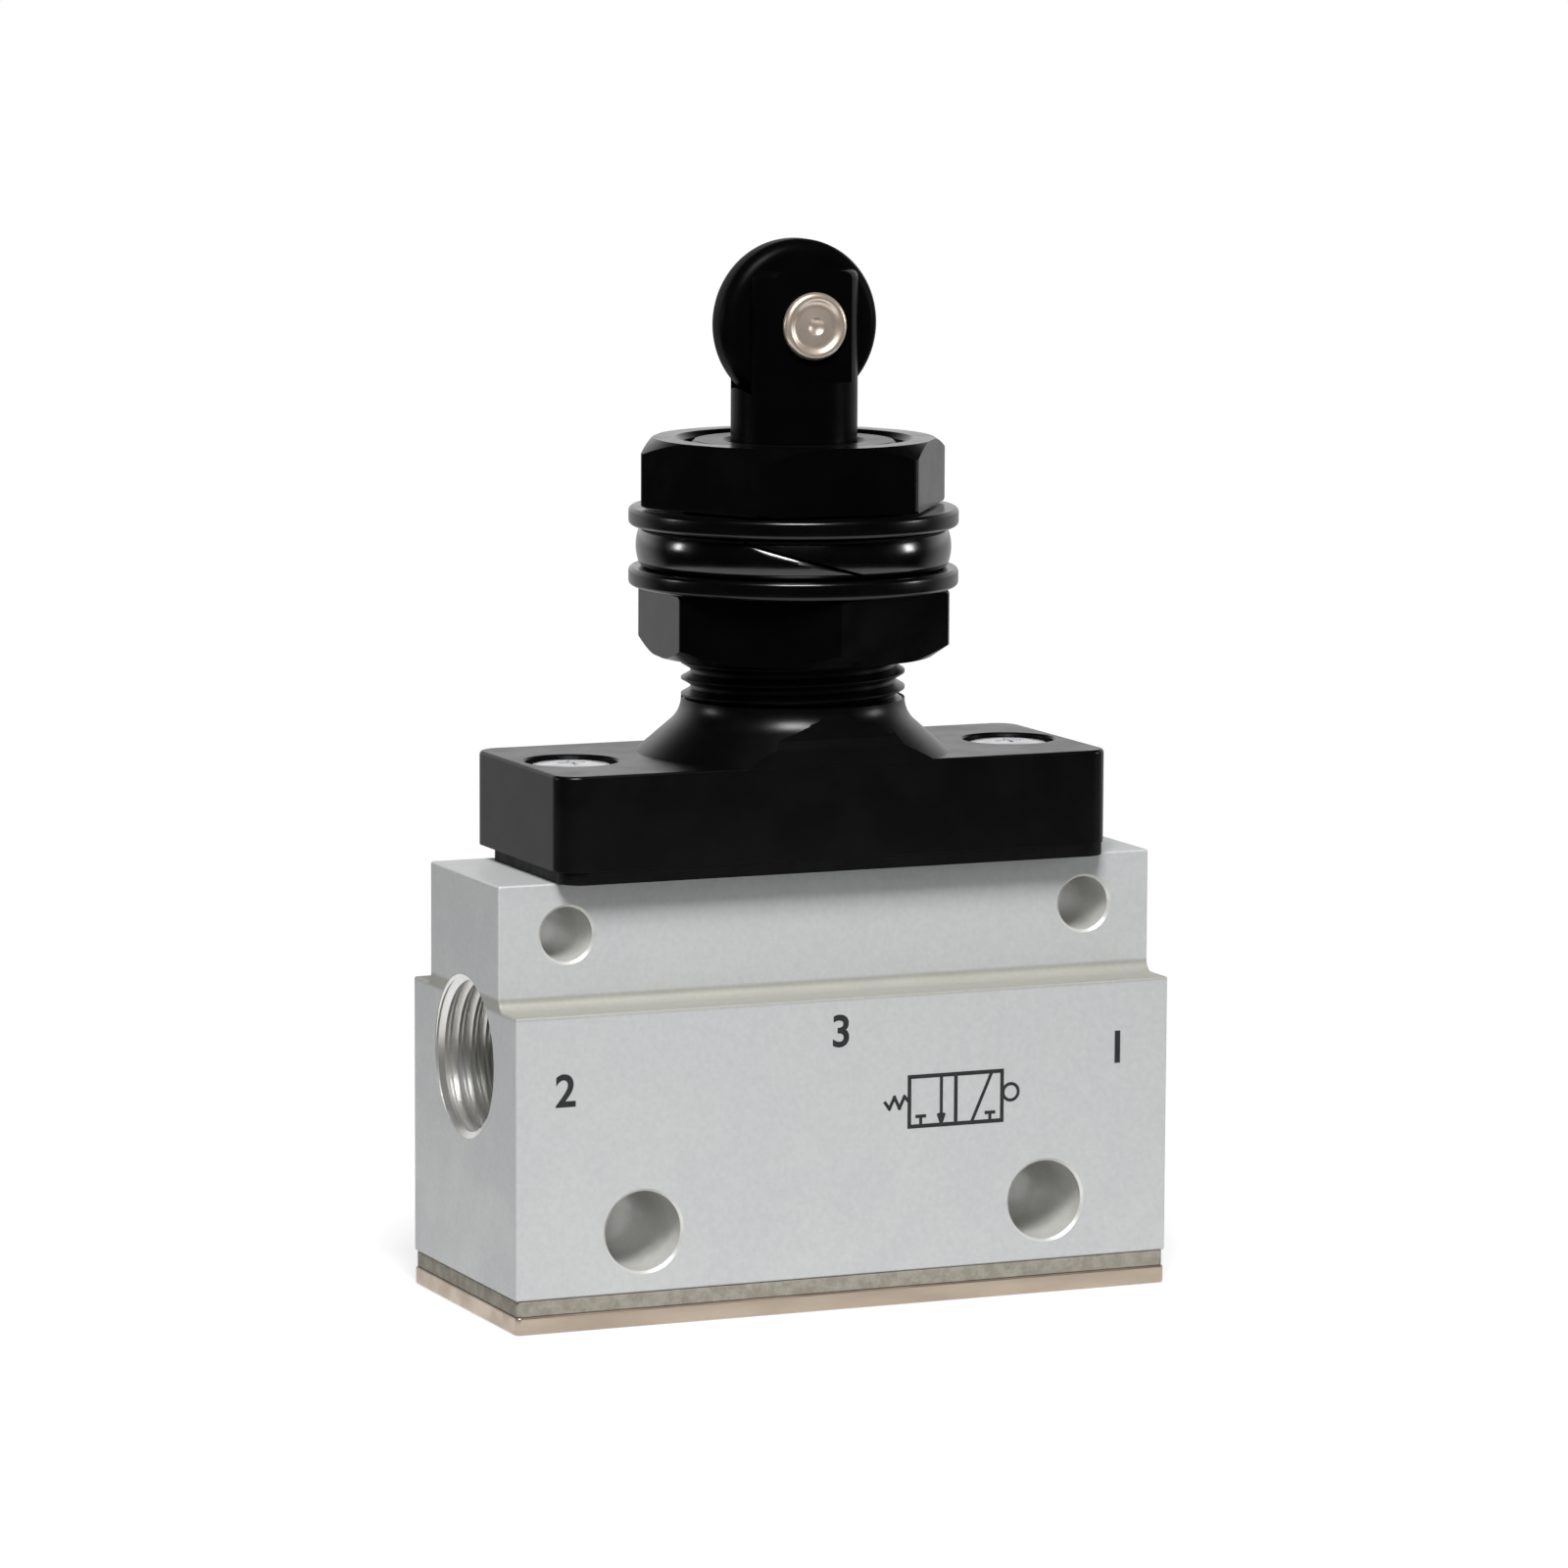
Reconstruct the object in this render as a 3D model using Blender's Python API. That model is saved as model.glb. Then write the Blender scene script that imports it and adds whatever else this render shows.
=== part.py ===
"""Roller plunger air valve, 3/2 way, for panel mounting.

Metres, +Z up. The origin is the middle of the bottom plate's underside. +X runs
along the body to the supply port, -Y is the front face. Every seat level is
worked out from the driving sizes below, from the bottom plate up to the roller.
"""
import math

import bmesh
import bpy
from mathutils import Matrix, Vector

# Clearances
SEAT_GAP = 0.00025
RUNNING_GAP = 0.0003
CUT_MARGIN = 0.001

# Body extrusion and the plate under it
BODY_LENGTH = 0.0440
BLOCK_DEPTH = 0.0177
RAIL_DEPTH = 0.01175
BLOCK_HEIGHT = 0.0175
RAIL_HEIGHT = 0.0077
SHOULDER_FILLET = 0.0007
PLATE_THICKNESS = 0.00105
PLATE_CORNER = 0.0003
BOTTOM_GASKET_THICKNESS = 0.00055

# Mounting holes, front to back, inset from the body's ends
LOWER_HOLE_INSET = 0.0084
LOWER_HOLE_HEIGHT = 0.0038
LOWER_HOLE_RADIUS = 0.0025
UPPER_HOLE_INSET = 0.0045
UPPER_HOLE_DROP = 0.0032
UPPER_HOLE_RADIUS = 0.0017
HOLE_CHAMFER = 0.00015

# Ports and the valve's inner passages
PORT_HEIGHT = 0.0138
PORT_RADIUS = 0.0044
PORT_MOUTH_RADIUS = 0.0051
PORT_DEPTH = 0.0088
EXHAUST_RADIUS = 0.0021
EXHAUST_MOUTH_RADIUS = 0.0025
PASSAGE_RADIUS = 0.0011
SUPPLY_PASSAGE_DROP = 0.0016
SUPPLY_CHAMBER_RADIUS = 0.0046
SUPPLY_CHAMBER_HEIGHT = 0.0126
VALVE_SEAT_RADIUS = 0.0024
VALVE_SEAT_HEIGHT = 0.0012
OUTLET_CHAMBER_RADIUS = 0.0033
OUTLET_CHAMBER_HEIGHT = 0.0033
GUIDE_BORE_RADIUS = 0.0038

# Cap with its flare and threaded neck
CAP_INSET = 0.00345
CAP_DEPTH = 0.0151
CAP_HEIGHT = 0.0059
CAP_CORNER = 0.0015
CAP_EDGE = 0.0003
CAP_GASKET_THICKNESS = 0.0003
CAP_GASKET_INSET = 0.0001
FLARE_RISE = 0.00335
FLARE_FILLET = 0.0020
FLARE_SLOPE = math.radians(49.0)
FLARE_FLAT_HEIGHT = 0.0010
FLARE_FLAT_INSET = 0.00003
NECK_RADIUS = 0.0070
NECK_HEIGHT = 0.01945
NECK_CHAMFER = 0.0008
NECK_LIP = 0.00125
CAP_BORE_RADIUS = 0.00525

# Screws that hold the cap and the bottom plate, inset from the ends and faces
CAP_SCREW_INSET = 0.00365
CAP_SCREW_HEAD_RADIUS = 0.00265
CAP_SCREW_HEAD_HEIGHT = 0.0016
CAP_SCREW_SUNK = 0.0002
CAP_SCREW_ENGAGEMENT = 0.0014
PLATE_SCREW_INSET_X = 0.0030
PLATE_SCREW_INSET_Y = 0.00365
PLATE_SCREW_HEAD_RADIUS = 0.0020
PLATE_SCREW_ENGAGEMENT = 0.0042
SCREW_RADIUS = 0.0010

# Panel nuts, washers and the split spring washer
NUT_FLATS = 0.01745
NUT_CORNER_RADIUS = 0.00995
NUT_HEIGHT = 0.0041
NUT_CHAMFER = 0.00115
NUT_CHAMFER_HEIGHT = 0.0008
NUT_OVERHANG = 0.00015
LOWER_NUT_TURN = math.radians(23.0)
UPPER_NUT_TURN = math.radians(55.8)
WASHER_RADIUS = 0.0103
WASHER_THICKNESS = 0.00105
SPRING_WASHER_RADIUS = 0.00985
SPRING_WASHER_HEIGHT = 0.0022
SPRING_WASHER_EDGE = 0.0008
SPRING_WASHER_TIP = 0.0003
SOFT_EDGE_SHARE = 0.45
SLIT_START = math.radians(229.0)
SLIT_SPAN = math.radians(43.0)

# Roller plunger
ROD_RADIUS = 0.00395
ROD_FLANGE_RADIUS = 0.0049
ROD_FLANGE_HEIGHT = 0.0020
ROD_TIP_RADIUS = 0.0022
ROD_SEAL_HEIGHT = 0.0012
BUSH_HEIGHT = 0.0066
PLUNGER_STROKE = 0.0018
ROLLER_RADIUS = 0.00528
ROLLER_WIDTH = 0.0027
ROLLER_EDGE = 0.0005
ROLLER_RISE = 0.00725
FORK_DEPTH = 0.0060
FORK_TOP_RISE = 0.0034
FORK_FLAT_DROP = 0.0035
FORK_EDGE = 0.0005
PIN_RADIUS = 0.0014
PIN_HEAD_RADIUS = 0.0021
PIN_HEAD_HEIGHT = 0.00025
PIN_DISH = 0.0008

# Poppet, valve stem and springs
POPPET_LIFT_GAP = 0.00075
POPPET_RADIUS = 0.0036
POPPET_HEIGHT = 0.0012
POPPET_STEM_RADIUS = 0.0015
POPPET_STEM_LENGTH = 0.0062
POPPET_SEAL_RADIUS = 0.0034
POPPET_SEAL_HEIGHT = 0.0007
STEM_RADIUS = 0.0019
STEM_BORE_RADIUS = 0.0009
STEM_VENT_RADIUS = 0.00055
CHAMBER_BUSH_HEIGHT = 0.0012
STEM_SEAL_HEIGHT = 0.0006
GUIDE_FLANGE_HEIGHT = 0.0009
GUIDE_LENGTH = 0.0021
SPRING_SEAT_HEIGHT = 0.0011
PLUNGER_SPRING_RADIUS = 0.0042
PLUNGER_SPRING_WIRE = 0.0007
PLUNGER_SPRING_TURNS = 6
POPPET_SPRING_RADIUS = 0.0024
POPPET_SPRING_WIRE = 0.0006
POPPET_SPRING_TURNS = 6

# Facets round a full turn
FINE_STEPS = 40
ROUND_STEPS = 28
SMALL_STEPS = 16
COIL_STEPS = 14
COIL_SIDES = 6
TAPER_STEPS = 8

# Edges that turn by more than this stay sharp
SHARP_ANGLE = math.radians(35.0)

# Levels, from the bottom plate upwards
BODY_BASE = PLATE_THICKNESS + BOTTOM_GASKET_THICKNESS + 2 * SEAT_GAP
SHOULDER_LEVEL = BODY_BASE + BLOCK_HEIGHT
BODY_TOP = SHOULDER_LEVEL + RAIL_HEIGHT
PORT_LEVEL = BODY_BASE + PORT_HEIGHT
VALVE_SEAT_LEVEL = BODY_BASE + SUPPLY_CHAMBER_HEIGHT
OUTLET_FLOOR = VALVE_SEAT_LEVEL + VALVE_SEAT_HEIGHT
OUTLET_TOP = OUTLET_FLOOR + OUTLET_CHAMBER_HEIGHT
SUPPLY_PASSAGE_LEVEL = VALVE_SEAT_LEVEL - SUPPLY_PASSAGE_DROP
OUTLET_PASSAGE_LEVEL = (OUTLET_FLOOR + OUTLET_TOP) / 2
STEM_SEAL_BASE = OUTLET_TOP + CHAMBER_BUSH_HEIGHT + 2 * SEAT_GAP
STEM_SEAL_TOP = STEM_SEAL_BASE + STEM_SEAL_HEIGHT
GUIDE_BOTTOM = BODY_TOP - GUIDE_LENGTH
EXHAUST_LEVEL = (STEM_SEAL_TOP + GUIDE_BOTTOM) / 2
CAP_BASE = BODY_TOP + CAP_GASKET_THICKNESS + 2 * SEAT_GAP
CAP_TOP = CAP_BASE + CAP_HEIGHT
NECK_TOP = CAP_TOP + NECK_HEIGHT
LIP_LEVEL = NECK_TOP - NECK_LIP
UPPER_NUT_BASE = NECK_TOP + NUT_OVERHANG - NUT_HEIGHT
UPPER_WASHER_BASE = UPPER_NUT_BASE - SEAT_GAP - WASHER_THICKNESS
SPRING_WASHER_BASE = UPPER_WASHER_BASE - SEAT_GAP - SPRING_WASHER_HEIGHT
LOWER_WASHER_BASE = SPRING_WASHER_BASE - SEAT_GAP - WASHER_THICKNESS
LOWER_NUT_BASE = LOWER_WASHER_BASE - SEAT_GAP - NUT_HEIGHT
BUSH_BASE = LIP_LEVEL - SEAT_GAP - BUSH_HEIGHT
ROD_SEAL_BASE = BUSH_BASE - SEAT_GAP - ROD_SEAL_HEIGHT
ROD_FLANGE_TOP = ROD_SEAL_BASE - RUNNING_GAP
ROD_FLANGE_BASE = ROD_FLANGE_TOP - ROD_FLANGE_HEIGHT
ROLLER_LEVEL = NECK_TOP + ROLLER_RISE
GUIDE_FLANGE_BASE = BODY_TOP + SEAT_GAP
GUIDE_FLANGE_TOP = GUIDE_FLANGE_BASE + GUIDE_FLANGE_HEIGHT
PLUNGER_SPRING_BASE = GUIDE_FLANGE_TOP + SEAT_GAP
PLUNGER_SPRING_TOP = ROD_FLANGE_BASE - SEAT_GAP
STEM_TOP = PLUNGER_SPRING_BASE + PLUNGER_STROKE
POPPET_SEAL_TOP = VALVE_SEAT_LEVEL - SEAT_GAP
POPPET_SEAL_BASE = POPPET_SEAL_TOP - POPPET_SEAL_HEIGHT
POPPET_TOP = POPPET_SEAL_BASE - SEAT_GAP
POPPET_FLANGE_BASE = POPPET_TOP - POPPET_HEIGHT
STEM_BASE = POPPET_SEAL_TOP + POPPET_LIFT_GAP
POPPET_SPRING_BASE = BODY_BASE + SPRING_SEAT_HEIGHT + SEAT_GAP
POPPET_SPRING_TOP = POPPET_FLANGE_BASE - SEAT_GAP

# Distances from the middle, which follow the body's ends and faces
LOWER_HOLE_X = BODY_LENGTH / 2 - LOWER_HOLE_INSET
UPPER_HOLE_X = BODY_LENGTH / 2 - UPPER_HOLE_INSET
CAP_LENGTH = BODY_LENGTH - 2 * CAP_INSET
CAP_SCREW_X = CAP_LENGTH / 2 - CAP_SCREW_INSET
PLATE_SCREW_X = BODY_LENGTH / 2 - PLATE_SCREW_INSET_X
PLATE_SCREW_Y = BLOCK_DEPTH / 2 - PLATE_SCREW_INSET_Y

# Sizes that follow from the pieces they meet
SCREW_HOLE_RADIUS = SCREW_RADIUS + SEAT_GAP
CAP_HEAD_TOP = CAP_TOP - CAP_SCREW_SUNK
CAP_HEAD_SEAT = CAP_HEAD_TOP - CAP_SCREW_HEAD_HEIGHT
CAP_COUNTERBORE_RADIUS = CAP_SCREW_HEAD_RADIUS + SEAT_GAP
NUT_BORE_RADIUS = NECK_RADIUS + SEAT_GAP
SPRING_WASHER_BORE = NECK_RADIUS + RUNNING_GAP
SLOT_WIDTH = ROLLER_WIDTH + 2 * RUNNING_GAP
PIN_HOLE_RADIUS = PIN_RADIUS + SEAT_GAP
PIN_REACH = FORK_DEPTH / 2 + SEAT_GAP
STEM_GUIDE_BORE = STEM_RADIUS + RUNNING_GAP
ROD_BORE_RADIUS = ROD_RADIUS + RUNNING_GAP
BUSH_RADIUS = CAP_BORE_RADIUS - SEAT_GAP
GUIDE_RADIUS = GUIDE_BORE_RADIUS - SEAT_GAP
CAP_SCREW_TIP = BODY_TOP - CAP_SCREW_ENGAGEMENT
PLATE_SCREW_TIP = BODY_BASE + PLATE_SCREW_ENGAGEMENT
PLATE_SCREW_CONE = PLATE_SCREW_HEAD_RADIUS - SCREW_RADIUS
COUNTERSINK_WIDENING = SEAT_GAP * math.sqrt(2.0)

# Directions along which turned pieces and cutters are laid
ALONG_X = Matrix.Rotation(math.radians(90.0), 4, "Y")
ALONG_MINUS_X = Matrix.Rotation(math.radians(-90.0), 4, "Y")
ALONG_Y = Matrix.Rotation(math.radians(-90.0), 4, "X")
ALONG_MINUS_Y = Matrix.Rotation(math.radians(90.0), 4, "X")
ALONG_Z = Matrix.Identity(4)
ALONG_BODY = Matrix(((0, 0, 1, 0), (1, 0, 0, 0), (0, 1, 0, 0), (0, 0, 0, 1)))

# Colour, roughness, metallic
ANODISED_SILVER = ((0.60, 0.61, 0.61), 0.45, 0.9)
BLACK_ANODISED = ((0.012, 0.012, 0.013), 0.32, 0.3)
BLACK_OXIDE = ((0.010, 0.010, 0.011), 0.25, 0.4)
BLACK_NYLON = ((0.013, 0.013, 0.013), 0.40, 0.0)
NICKEL_PLATE = ((0.62, 0.57, 0.50), 0.28, 1.0)
ZINC_STEEL = ((0.55, 0.55, 0.56), 0.30, 1.0)
BRASS = ((0.60, 0.45, 0.18), 0.30, 1.0)
STAINLESS_WIRE = ((0.50, 0.50, 0.50), 0.25, 1.0)
RUBBER = ((0.015, 0.015, 0.015), 0.65, 0.0)
FIBRE_GASKET = ((0.20, 0.19, 0.14), 0.70, 0.0)
SEALING_GASKET = ((0.020, 0.020, 0.020), 0.60, 0.0)


def clear_scene():
    for old in list(bpy.data.objects):
        bpy.data.objects.remove(old)


def make_material(name, finish):
    colour, roughness, metallic = finish
    material = bpy.data.materials.new(name)
    material.use_nodes = True
    shader = material.node_tree.nodes["Principled BSDF"]
    shader.inputs["Base Color"].default_value = (*colour, 1.0)
    shader.inputs["Roughness"].default_value = roughness
    shader.inputs["Metallic"].default_value = metallic
    material.diffuse_color = (*colour, 1.0)
    return material


def add_object(name, bm, location=(0.0, 0.0, 0.0), parent=None):
    """Link a bmesh as an object whose location is given in world space."""
    bmesh.ops.recalc_face_normals(bm, faces=bm.faces)
    mesh = bpy.data.meshes.new(name)
    bm.to_mesh(mesh)
    bm.free()
    obj = bpy.data.objects.new(name, mesh)
    bpy.context.scene.collection.objects.link(obj)
    obj.location = Vector(location)
    if parent is not None:
        obj.parent = parent
        obj.location = Vector(location) - parent.location
    return obj


def add_piece(name, bm, finish, location=(0.0, 0.0, 0.0), parent=None):
    """A sub-part of the valve, smooth where it is round, with its own material."""
    piece = add_object(name, bm, location, parent)
    piece.data.materials.append(make_material(name + "_finish", finish))
    piece.data.shade_smooth()
    piece.data.set_sharp_from_angle(angle=SHARP_ANGLE)
    return piece


def add_empty(name, location):
    empty = bpy.data.objects.new(name, None)
    empty.location = location
    bpy.context.scene.collection.objects.link(empty)
    return empty


def combine(target, tool, operation):
    """Add an exact Boolean with a tool that stays as a hidden wire object."""
    tool.hide_render = True
    tool.display_type = "WIRE"
    modifier = target.modifiers.new(tool.name, "BOOLEAN")
    modifier.operation = operation
    modifier.solver = "EXACT"
    modifier.object = tool


def cut(target, bm, name, location=(0.0, 0.0, 0.0)):
    tool = add_object(target.name + "_cut_" + name, bm, location)
    combine(target, tool, "DIFFERENCE")


def turned(profile, steps, matrix=ALONG_Z):
    """Spin a profile of (radius, height) points; it is open where it meets the axis."""
    bm = bmesh.new()
    points = [bm.verts.new((radius, 0.0, height)) for radius, height in profile]
    edges = [bm.edges.new(pair) for pair in zip(points, points[1:])]
    if profile[0][0] > 0.0:
        edges.append(bm.edges.new((points[-1], points[0])))
    bmesh.ops.spin(
        bm, geom=points + edges, cent=(0.0, 0.0, 0.0), axis=(0.0, 0.0, 1.0),
        angle=2.0 * math.pi, steps=steps, use_merge=True, use_duplicate=False,
    )
    bmesh.ops.remove_doubles(bm, verts=bm.verts, dist=1e-7)
    bmesh.ops.transform(bm, matrix=matrix, verts=bm.verts)
    return bm


def disc(radius, height, steps, matrix=ALONG_Z):
    """A plain cylinder that stands on the origin of its own axis."""
    return turned([(0.0, 0.0), (radius, 0.0), (radius, height), (0.0, height)], steps, matrix)


def ring(inner, outer, height, steps, edge=0.0):
    """A flat ring with its outer corners taken off by edge."""
    profile = [(inner, 0.0), (outer - edge, 0.0)]
    if edge > 0.0:
        profile += [(outer, edge), (outer, height - edge)]
        profile.append((outer - edge, height))
    else:
        profile.append((outer, height))
    profile.append((inner, height))
    return turned(profile, steps)


def extruded(outline, length, matrix=ALONG_Z):
    """Extrude a closed outline along its own Z, from 0 to length."""
    bm = bmesh.new()
    face = bm.faces.new([bm.verts.new((x, y, 0.0)) for x, y in outline])
    walls = bmesh.ops.extrude_face_region(bm, geom=[face])
    raised = [item for item in walls["geom"] if isinstance(item, bmesh.types.BMVert)]
    bmesh.ops.translate(bm, vec=(0.0, 0.0, length), verts=raised)
    bmesh.ops.transform(bm, matrix=matrix, verts=bm.verts)
    return bm


def arc(centre, radius, start, end, steps):
    """Points on a circular arc, both ends included, angles in degrees."""
    points = []
    for index in range(steps + 1):
        angle = math.radians(start + (end - start) * index / steps)
        points.append((centre[0] + radius * math.cos(angle), centre[1] + radius * math.sin(angle)))
    return points


def rounded_rectangle(length, depth, radius, steps=5):
    x = length / 2 - radius
    y = depth / 2 - radius
    outline = arc((x, y), radius, 0.0, 90.0, steps)
    outline += arc((-x, y), radius, 90.0, 180.0, steps)
    outline += arc((-x, -y), radius, 180.0, 270.0, steps)
    outline += arc((x, -y), radius, 270.0, 360.0, steps)
    return outline


def box(length, depth, height):
    """A block centred on X and Y that stands on its own origin."""
    x = length / 2
    y = depth / 2
    return extruded([(-x, -y), (x, -y), (x, y), (-x, y)], height)


def coil(radius, wire, height, turns):
    """A helical spring of round wire, standing on its own origin."""
    bm = bmesh.new()
    count = int(turns * COIL_STEPS)
    rise = height - wire
    pitch_angle = math.atan2(rise / turns, 2.0 * math.pi * radius)
    rings = []
    for index in range(count + 1):
        turn = 2.0 * math.pi * turns * index / count
        centre = Vector((radius * math.cos(turn), radius * math.sin(turn), wire / 2 + rise * index / count))
        outward = Vector((math.cos(turn), math.sin(turn), 0.0))
        along = Vector((-math.sin(turn), math.cos(turn), 0.0)) * math.cos(pitch_angle)
        along.z = math.sin(pitch_angle)
        upward = outward.cross(along)
        section = []
        for side in range(COIL_SIDES):
            angle = 2.0 * math.pi * (side + 0.5) / COIL_SIDES
            offset = outward * math.cos(angle) + upward * math.sin(angle)
            section.append(bm.verts.new(centre + offset * wire / 2))
        rings.append(section)
    for lower, upper in zip(rings, rings[1:]):
        for side in range(COIL_SIDES):
            following = (side + 1) % COIL_SIDES
            bm.faces.new((lower[side], lower[following], upper[following], upper[side]))
    bm.faces.new(rings[0])
    bm.faces.new(rings[-1])
    return bm


def split_ring(inner, outer, height, edge, slit_start, slit_span):
    """A spring washer whose slit runs down a shallow slope and whose ends taper.

    The ring's first end lies over its last one. Above the slit the underside
    climbs to the top, and below the slit the top falls away to the underside.
    """
    bm = bmesh.new()
    slope = (height - SPRING_WASHER_TIP) / slit_span
    lower_span = slit_span - (SPRING_WASHER_TIP + SEAT_GAP) / slope
    clear_angle = SEAT_GAP / inner
    full_turn = 2.0 * math.pi
    stations = []
    for index in range(TAPER_STEPS + 1):
        angle = slit_span * index / TAPER_STEPS
        underside = height - SPRING_WASHER_TIP - slope * angle
        stations.append((angle, max(underside, 0.0), height))
    plain_steps = FINE_STEPS - TAPER_STEPS
    plain_span = full_turn - clear_angle - slit_span
    for index in range(1, plain_steps + 1):
        stations.append((slit_span + plain_span * index / plain_steps, 0.0, height))
    for index in range(TAPER_STEPS + 1):
        angle = lower_span * index / TAPER_STEPS
        top = height - SPRING_WASHER_TIP - SEAT_GAP - slope * angle
        stations.append((full_turn + angle, 0.0, top))
    sections = []
    for angle, low, high in stations:
        soft = min(edge, (high - low) * SOFT_EDGE_SHARE)
        outline = [(inner, low), (outer - soft, low), (outer, low + soft)]
        outline += [(outer, high - soft), (outer - soft, high), (inner, high)]
        turn = slit_start + angle
        direction = Vector((math.cos(turn), math.sin(turn), 0.0))
        sections.append([bm.verts.new(direction * r + Vector((0.0, 0.0, z))) for r, z in outline])
    sides = len(sections[0])
    for first, second in zip(sections, sections[1:]):
        for side in range(sides):
            following = (side + 1) % sides
            bm.faces.new((first[side], first[following], second[following], second[side]))
    bm.faces.new(sections[0])
    bm.faces.new(sections[-1])
    return bm


def mouth_profile(radius, mouth_radius, depth):
    """A blind hole cutter with a conical mouth, entering at height 0 and going up."""
    chamfer = mouth_radius - radius
    return [
        (0.0, -CUT_MARGIN), (mouth_radius + CUT_MARGIN, -CUT_MARGIN),
        (radius, chamfer), (radius, depth), (0.0, depth),
    ]


def through_profile(radius, chamfer, depth):
    """A through hole cutter, centred, with both mouths chamfered."""
    half = depth / 2
    wide = radius + chamfer + CUT_MARGIN
    return [
        (0.0, -half - CUT_MARGIN), (wide, -half - CUT_MARGIN), (radius, -half + chamfer),
        (radius, half - chamfer), (wide, half + CUT_MARGIN), (0.0, half + CUT_MARGIN),
    ]


def body_section():
    """Outline of the extrusion in depth and height: wide block, filleted shoulder, narrow rail."""
    block = BLOCK_DEPTH / 2
    rail = RAIL_DEPTH / 2
    fillet = SHOULDER_FILLET
    top = BLOCK_HEIGHT + RAIL_HEIGHT
    right = [(-block, 0.0), (block, 0.0), (block, BLOCK_HEIGHT)]
    right += arc((rail + fillet, BLOCK_HEIGHT + fillet), fillet, 270.0, 180.0, 4)
    right += [(rail, top), (-rail, top)]
    left = arc((-rail - fillet, BLOCK_HEIGHT + fillet), fillet, 0.0, -90.0, 4)
    return right + left + [(-block, BLOCK_HEIGHT)]


def screw_places():
    """Centres of the four bottom plate screws, left to right and front to back."""
    return {
        "front_left": (-PLATE_SCREW_X, -PLATE_SCREW_Y), "front_right": (PLATE_SCREW_X, -PLATE_SCREW_Y),
        "back_left": (-PLATE_SCREW_X, PLATE_SCREW_Y), "back_right": (PLATE_SCREW_X, PLATE_SCREW_Y),
    }


def build_body():
    base = (-BODY_LENGTH / 2, 0.0, BODY_BASE)
    body = add_piece("valve_body", extruded(body_section(), BODY_LENGTH, ALONG_BODY), ANODISED_SILVER, base)

    bore = [
        (0.0, BODY_BASE - CUT_MARGIN), (SUPPLY_CHAMBER_RADIUS, BODY_BASE - CUT_MARGIN),
        (SUPPLY_CHAMBER_RADIUS, VALVE_SEAT_LEVEL), (VALVE_SEAT_RADIUS, VALVE_SEAT_LEVEL),
        (VALVE_SEAT_RADIUS, OUTLET_FLOOR), (OUTLET_CHAMBER_RADIUS, OUTLET_FLOOR),
        (OUTLET_CHAMBER_RADIUS, OUTLET_TOP), (GUIDE_BORE_RADIUS, OUTLET_TOP),
        (GUIDE_BORE_RADIUS, BODY_TOP + CUT_MARGIN), (0.0, BODY_TOP + CUT_MARGIN),
    ]
    cut(body, turned(bore, ROUND_STEPS), "valve_bore")

    socket = mouth_profile(PORT_RADIUS, PORT_MOUTH_RADIUS, PORT_DEPTH)
    half = BODY_LENGTH / 2
    cut(body, turned(socket, FINE_STEPS, ALONG_X), "outlet_port", (-half, 0.0, PORT_LEVEL))
    cut(body, turned(socket, FINE_STEPS, ALONG_MINUS_X), "supply_port", (half, 0.0, PORT_LEVEL))
    passage = disc(PASSAGE_RADIUS, half - PORT_DEPTH + CUT_MARGIN, SMALL_STEPS, ALONG_MINUS_X)
    cut(body, passage, "outlet_passage", (0.0, 0.0, OUTLET_PASSAGE_LEVEL))
    passage = disc(PASSAGE_RADIUS, half - PORT_DEPTH + CUT_MARGIN, SMALL_STEPS, ALONG_X)
    cut(body, passage, "supply_passage", (0.0, 0.0, SUPPLY_PASSAGE_LEVEL))
    exhaust = mouth_profile(EXHAUST_RADIUS, EXHAUST_MOUTH_RADIUS, RAIL_DEPTH / 2)
    place = (0.0, RAIL_DEPTH / 2, EXHAUST_LEVEL)
    cut(body, turned(exhaust, ROUND_STEPS, ALONG_MINUS_Y), "exhaust_port", place)

    lower_level = BODY_BASE + LOWER_HOLE_HEIGHT
    upper_level = BODY_TOP - UPPER_HOLE_DROP
    for side, sign in (("left", -1.0), ("right", 1.0)):
        hole = through_profile(LOWER_HOLE_RADIUS, HOLE_CHAMFER, BLOCK_DEPTH)
        place = (sign * LOWER_HOLE_X, 0.0, lower_level)
        cut(body, turned(hole, ROUND_STEPS, ALONG_Y), "lower_hole_" + side, place)
        hole = through_profile(UPPER_HOLE_RADIUS, HOLE_CHAMFER, RAIL_DEPTH)
        place = (sign * UPPER_HOLE_X, 0.0, upper_level)
        cut(body, turned(hole, ROUND_STEPS, ALONG_Y), "upper_hole_" + side, place)
        depth = CAP_SCREW_ENGAGEMENT + SEAT_GAP
        place = (sign * CAP_SCREW_X, 0.0, BODY_TOP - depth)
        tapped = disc(SCREW_HOLE_RADIUS, depth + CUT_MARGIN, SMALL_STEPS)
        cut(body, tapped, "cap_screw_hole_" + side, place)
    for where, (x, y) in screw_places().items():
        depth = PLATE_SCREW_ENGAGEMENT + SEAT_GAP + CUT_MARGIN
        tapped = disc(SCREW_HOLE_RADIUS, depth, SMALL_STEPS)
        cut(body, tapped, "plate_screw_hole_" + where, (x, y, BODY_BASE - CUT_MARGIN))


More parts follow.
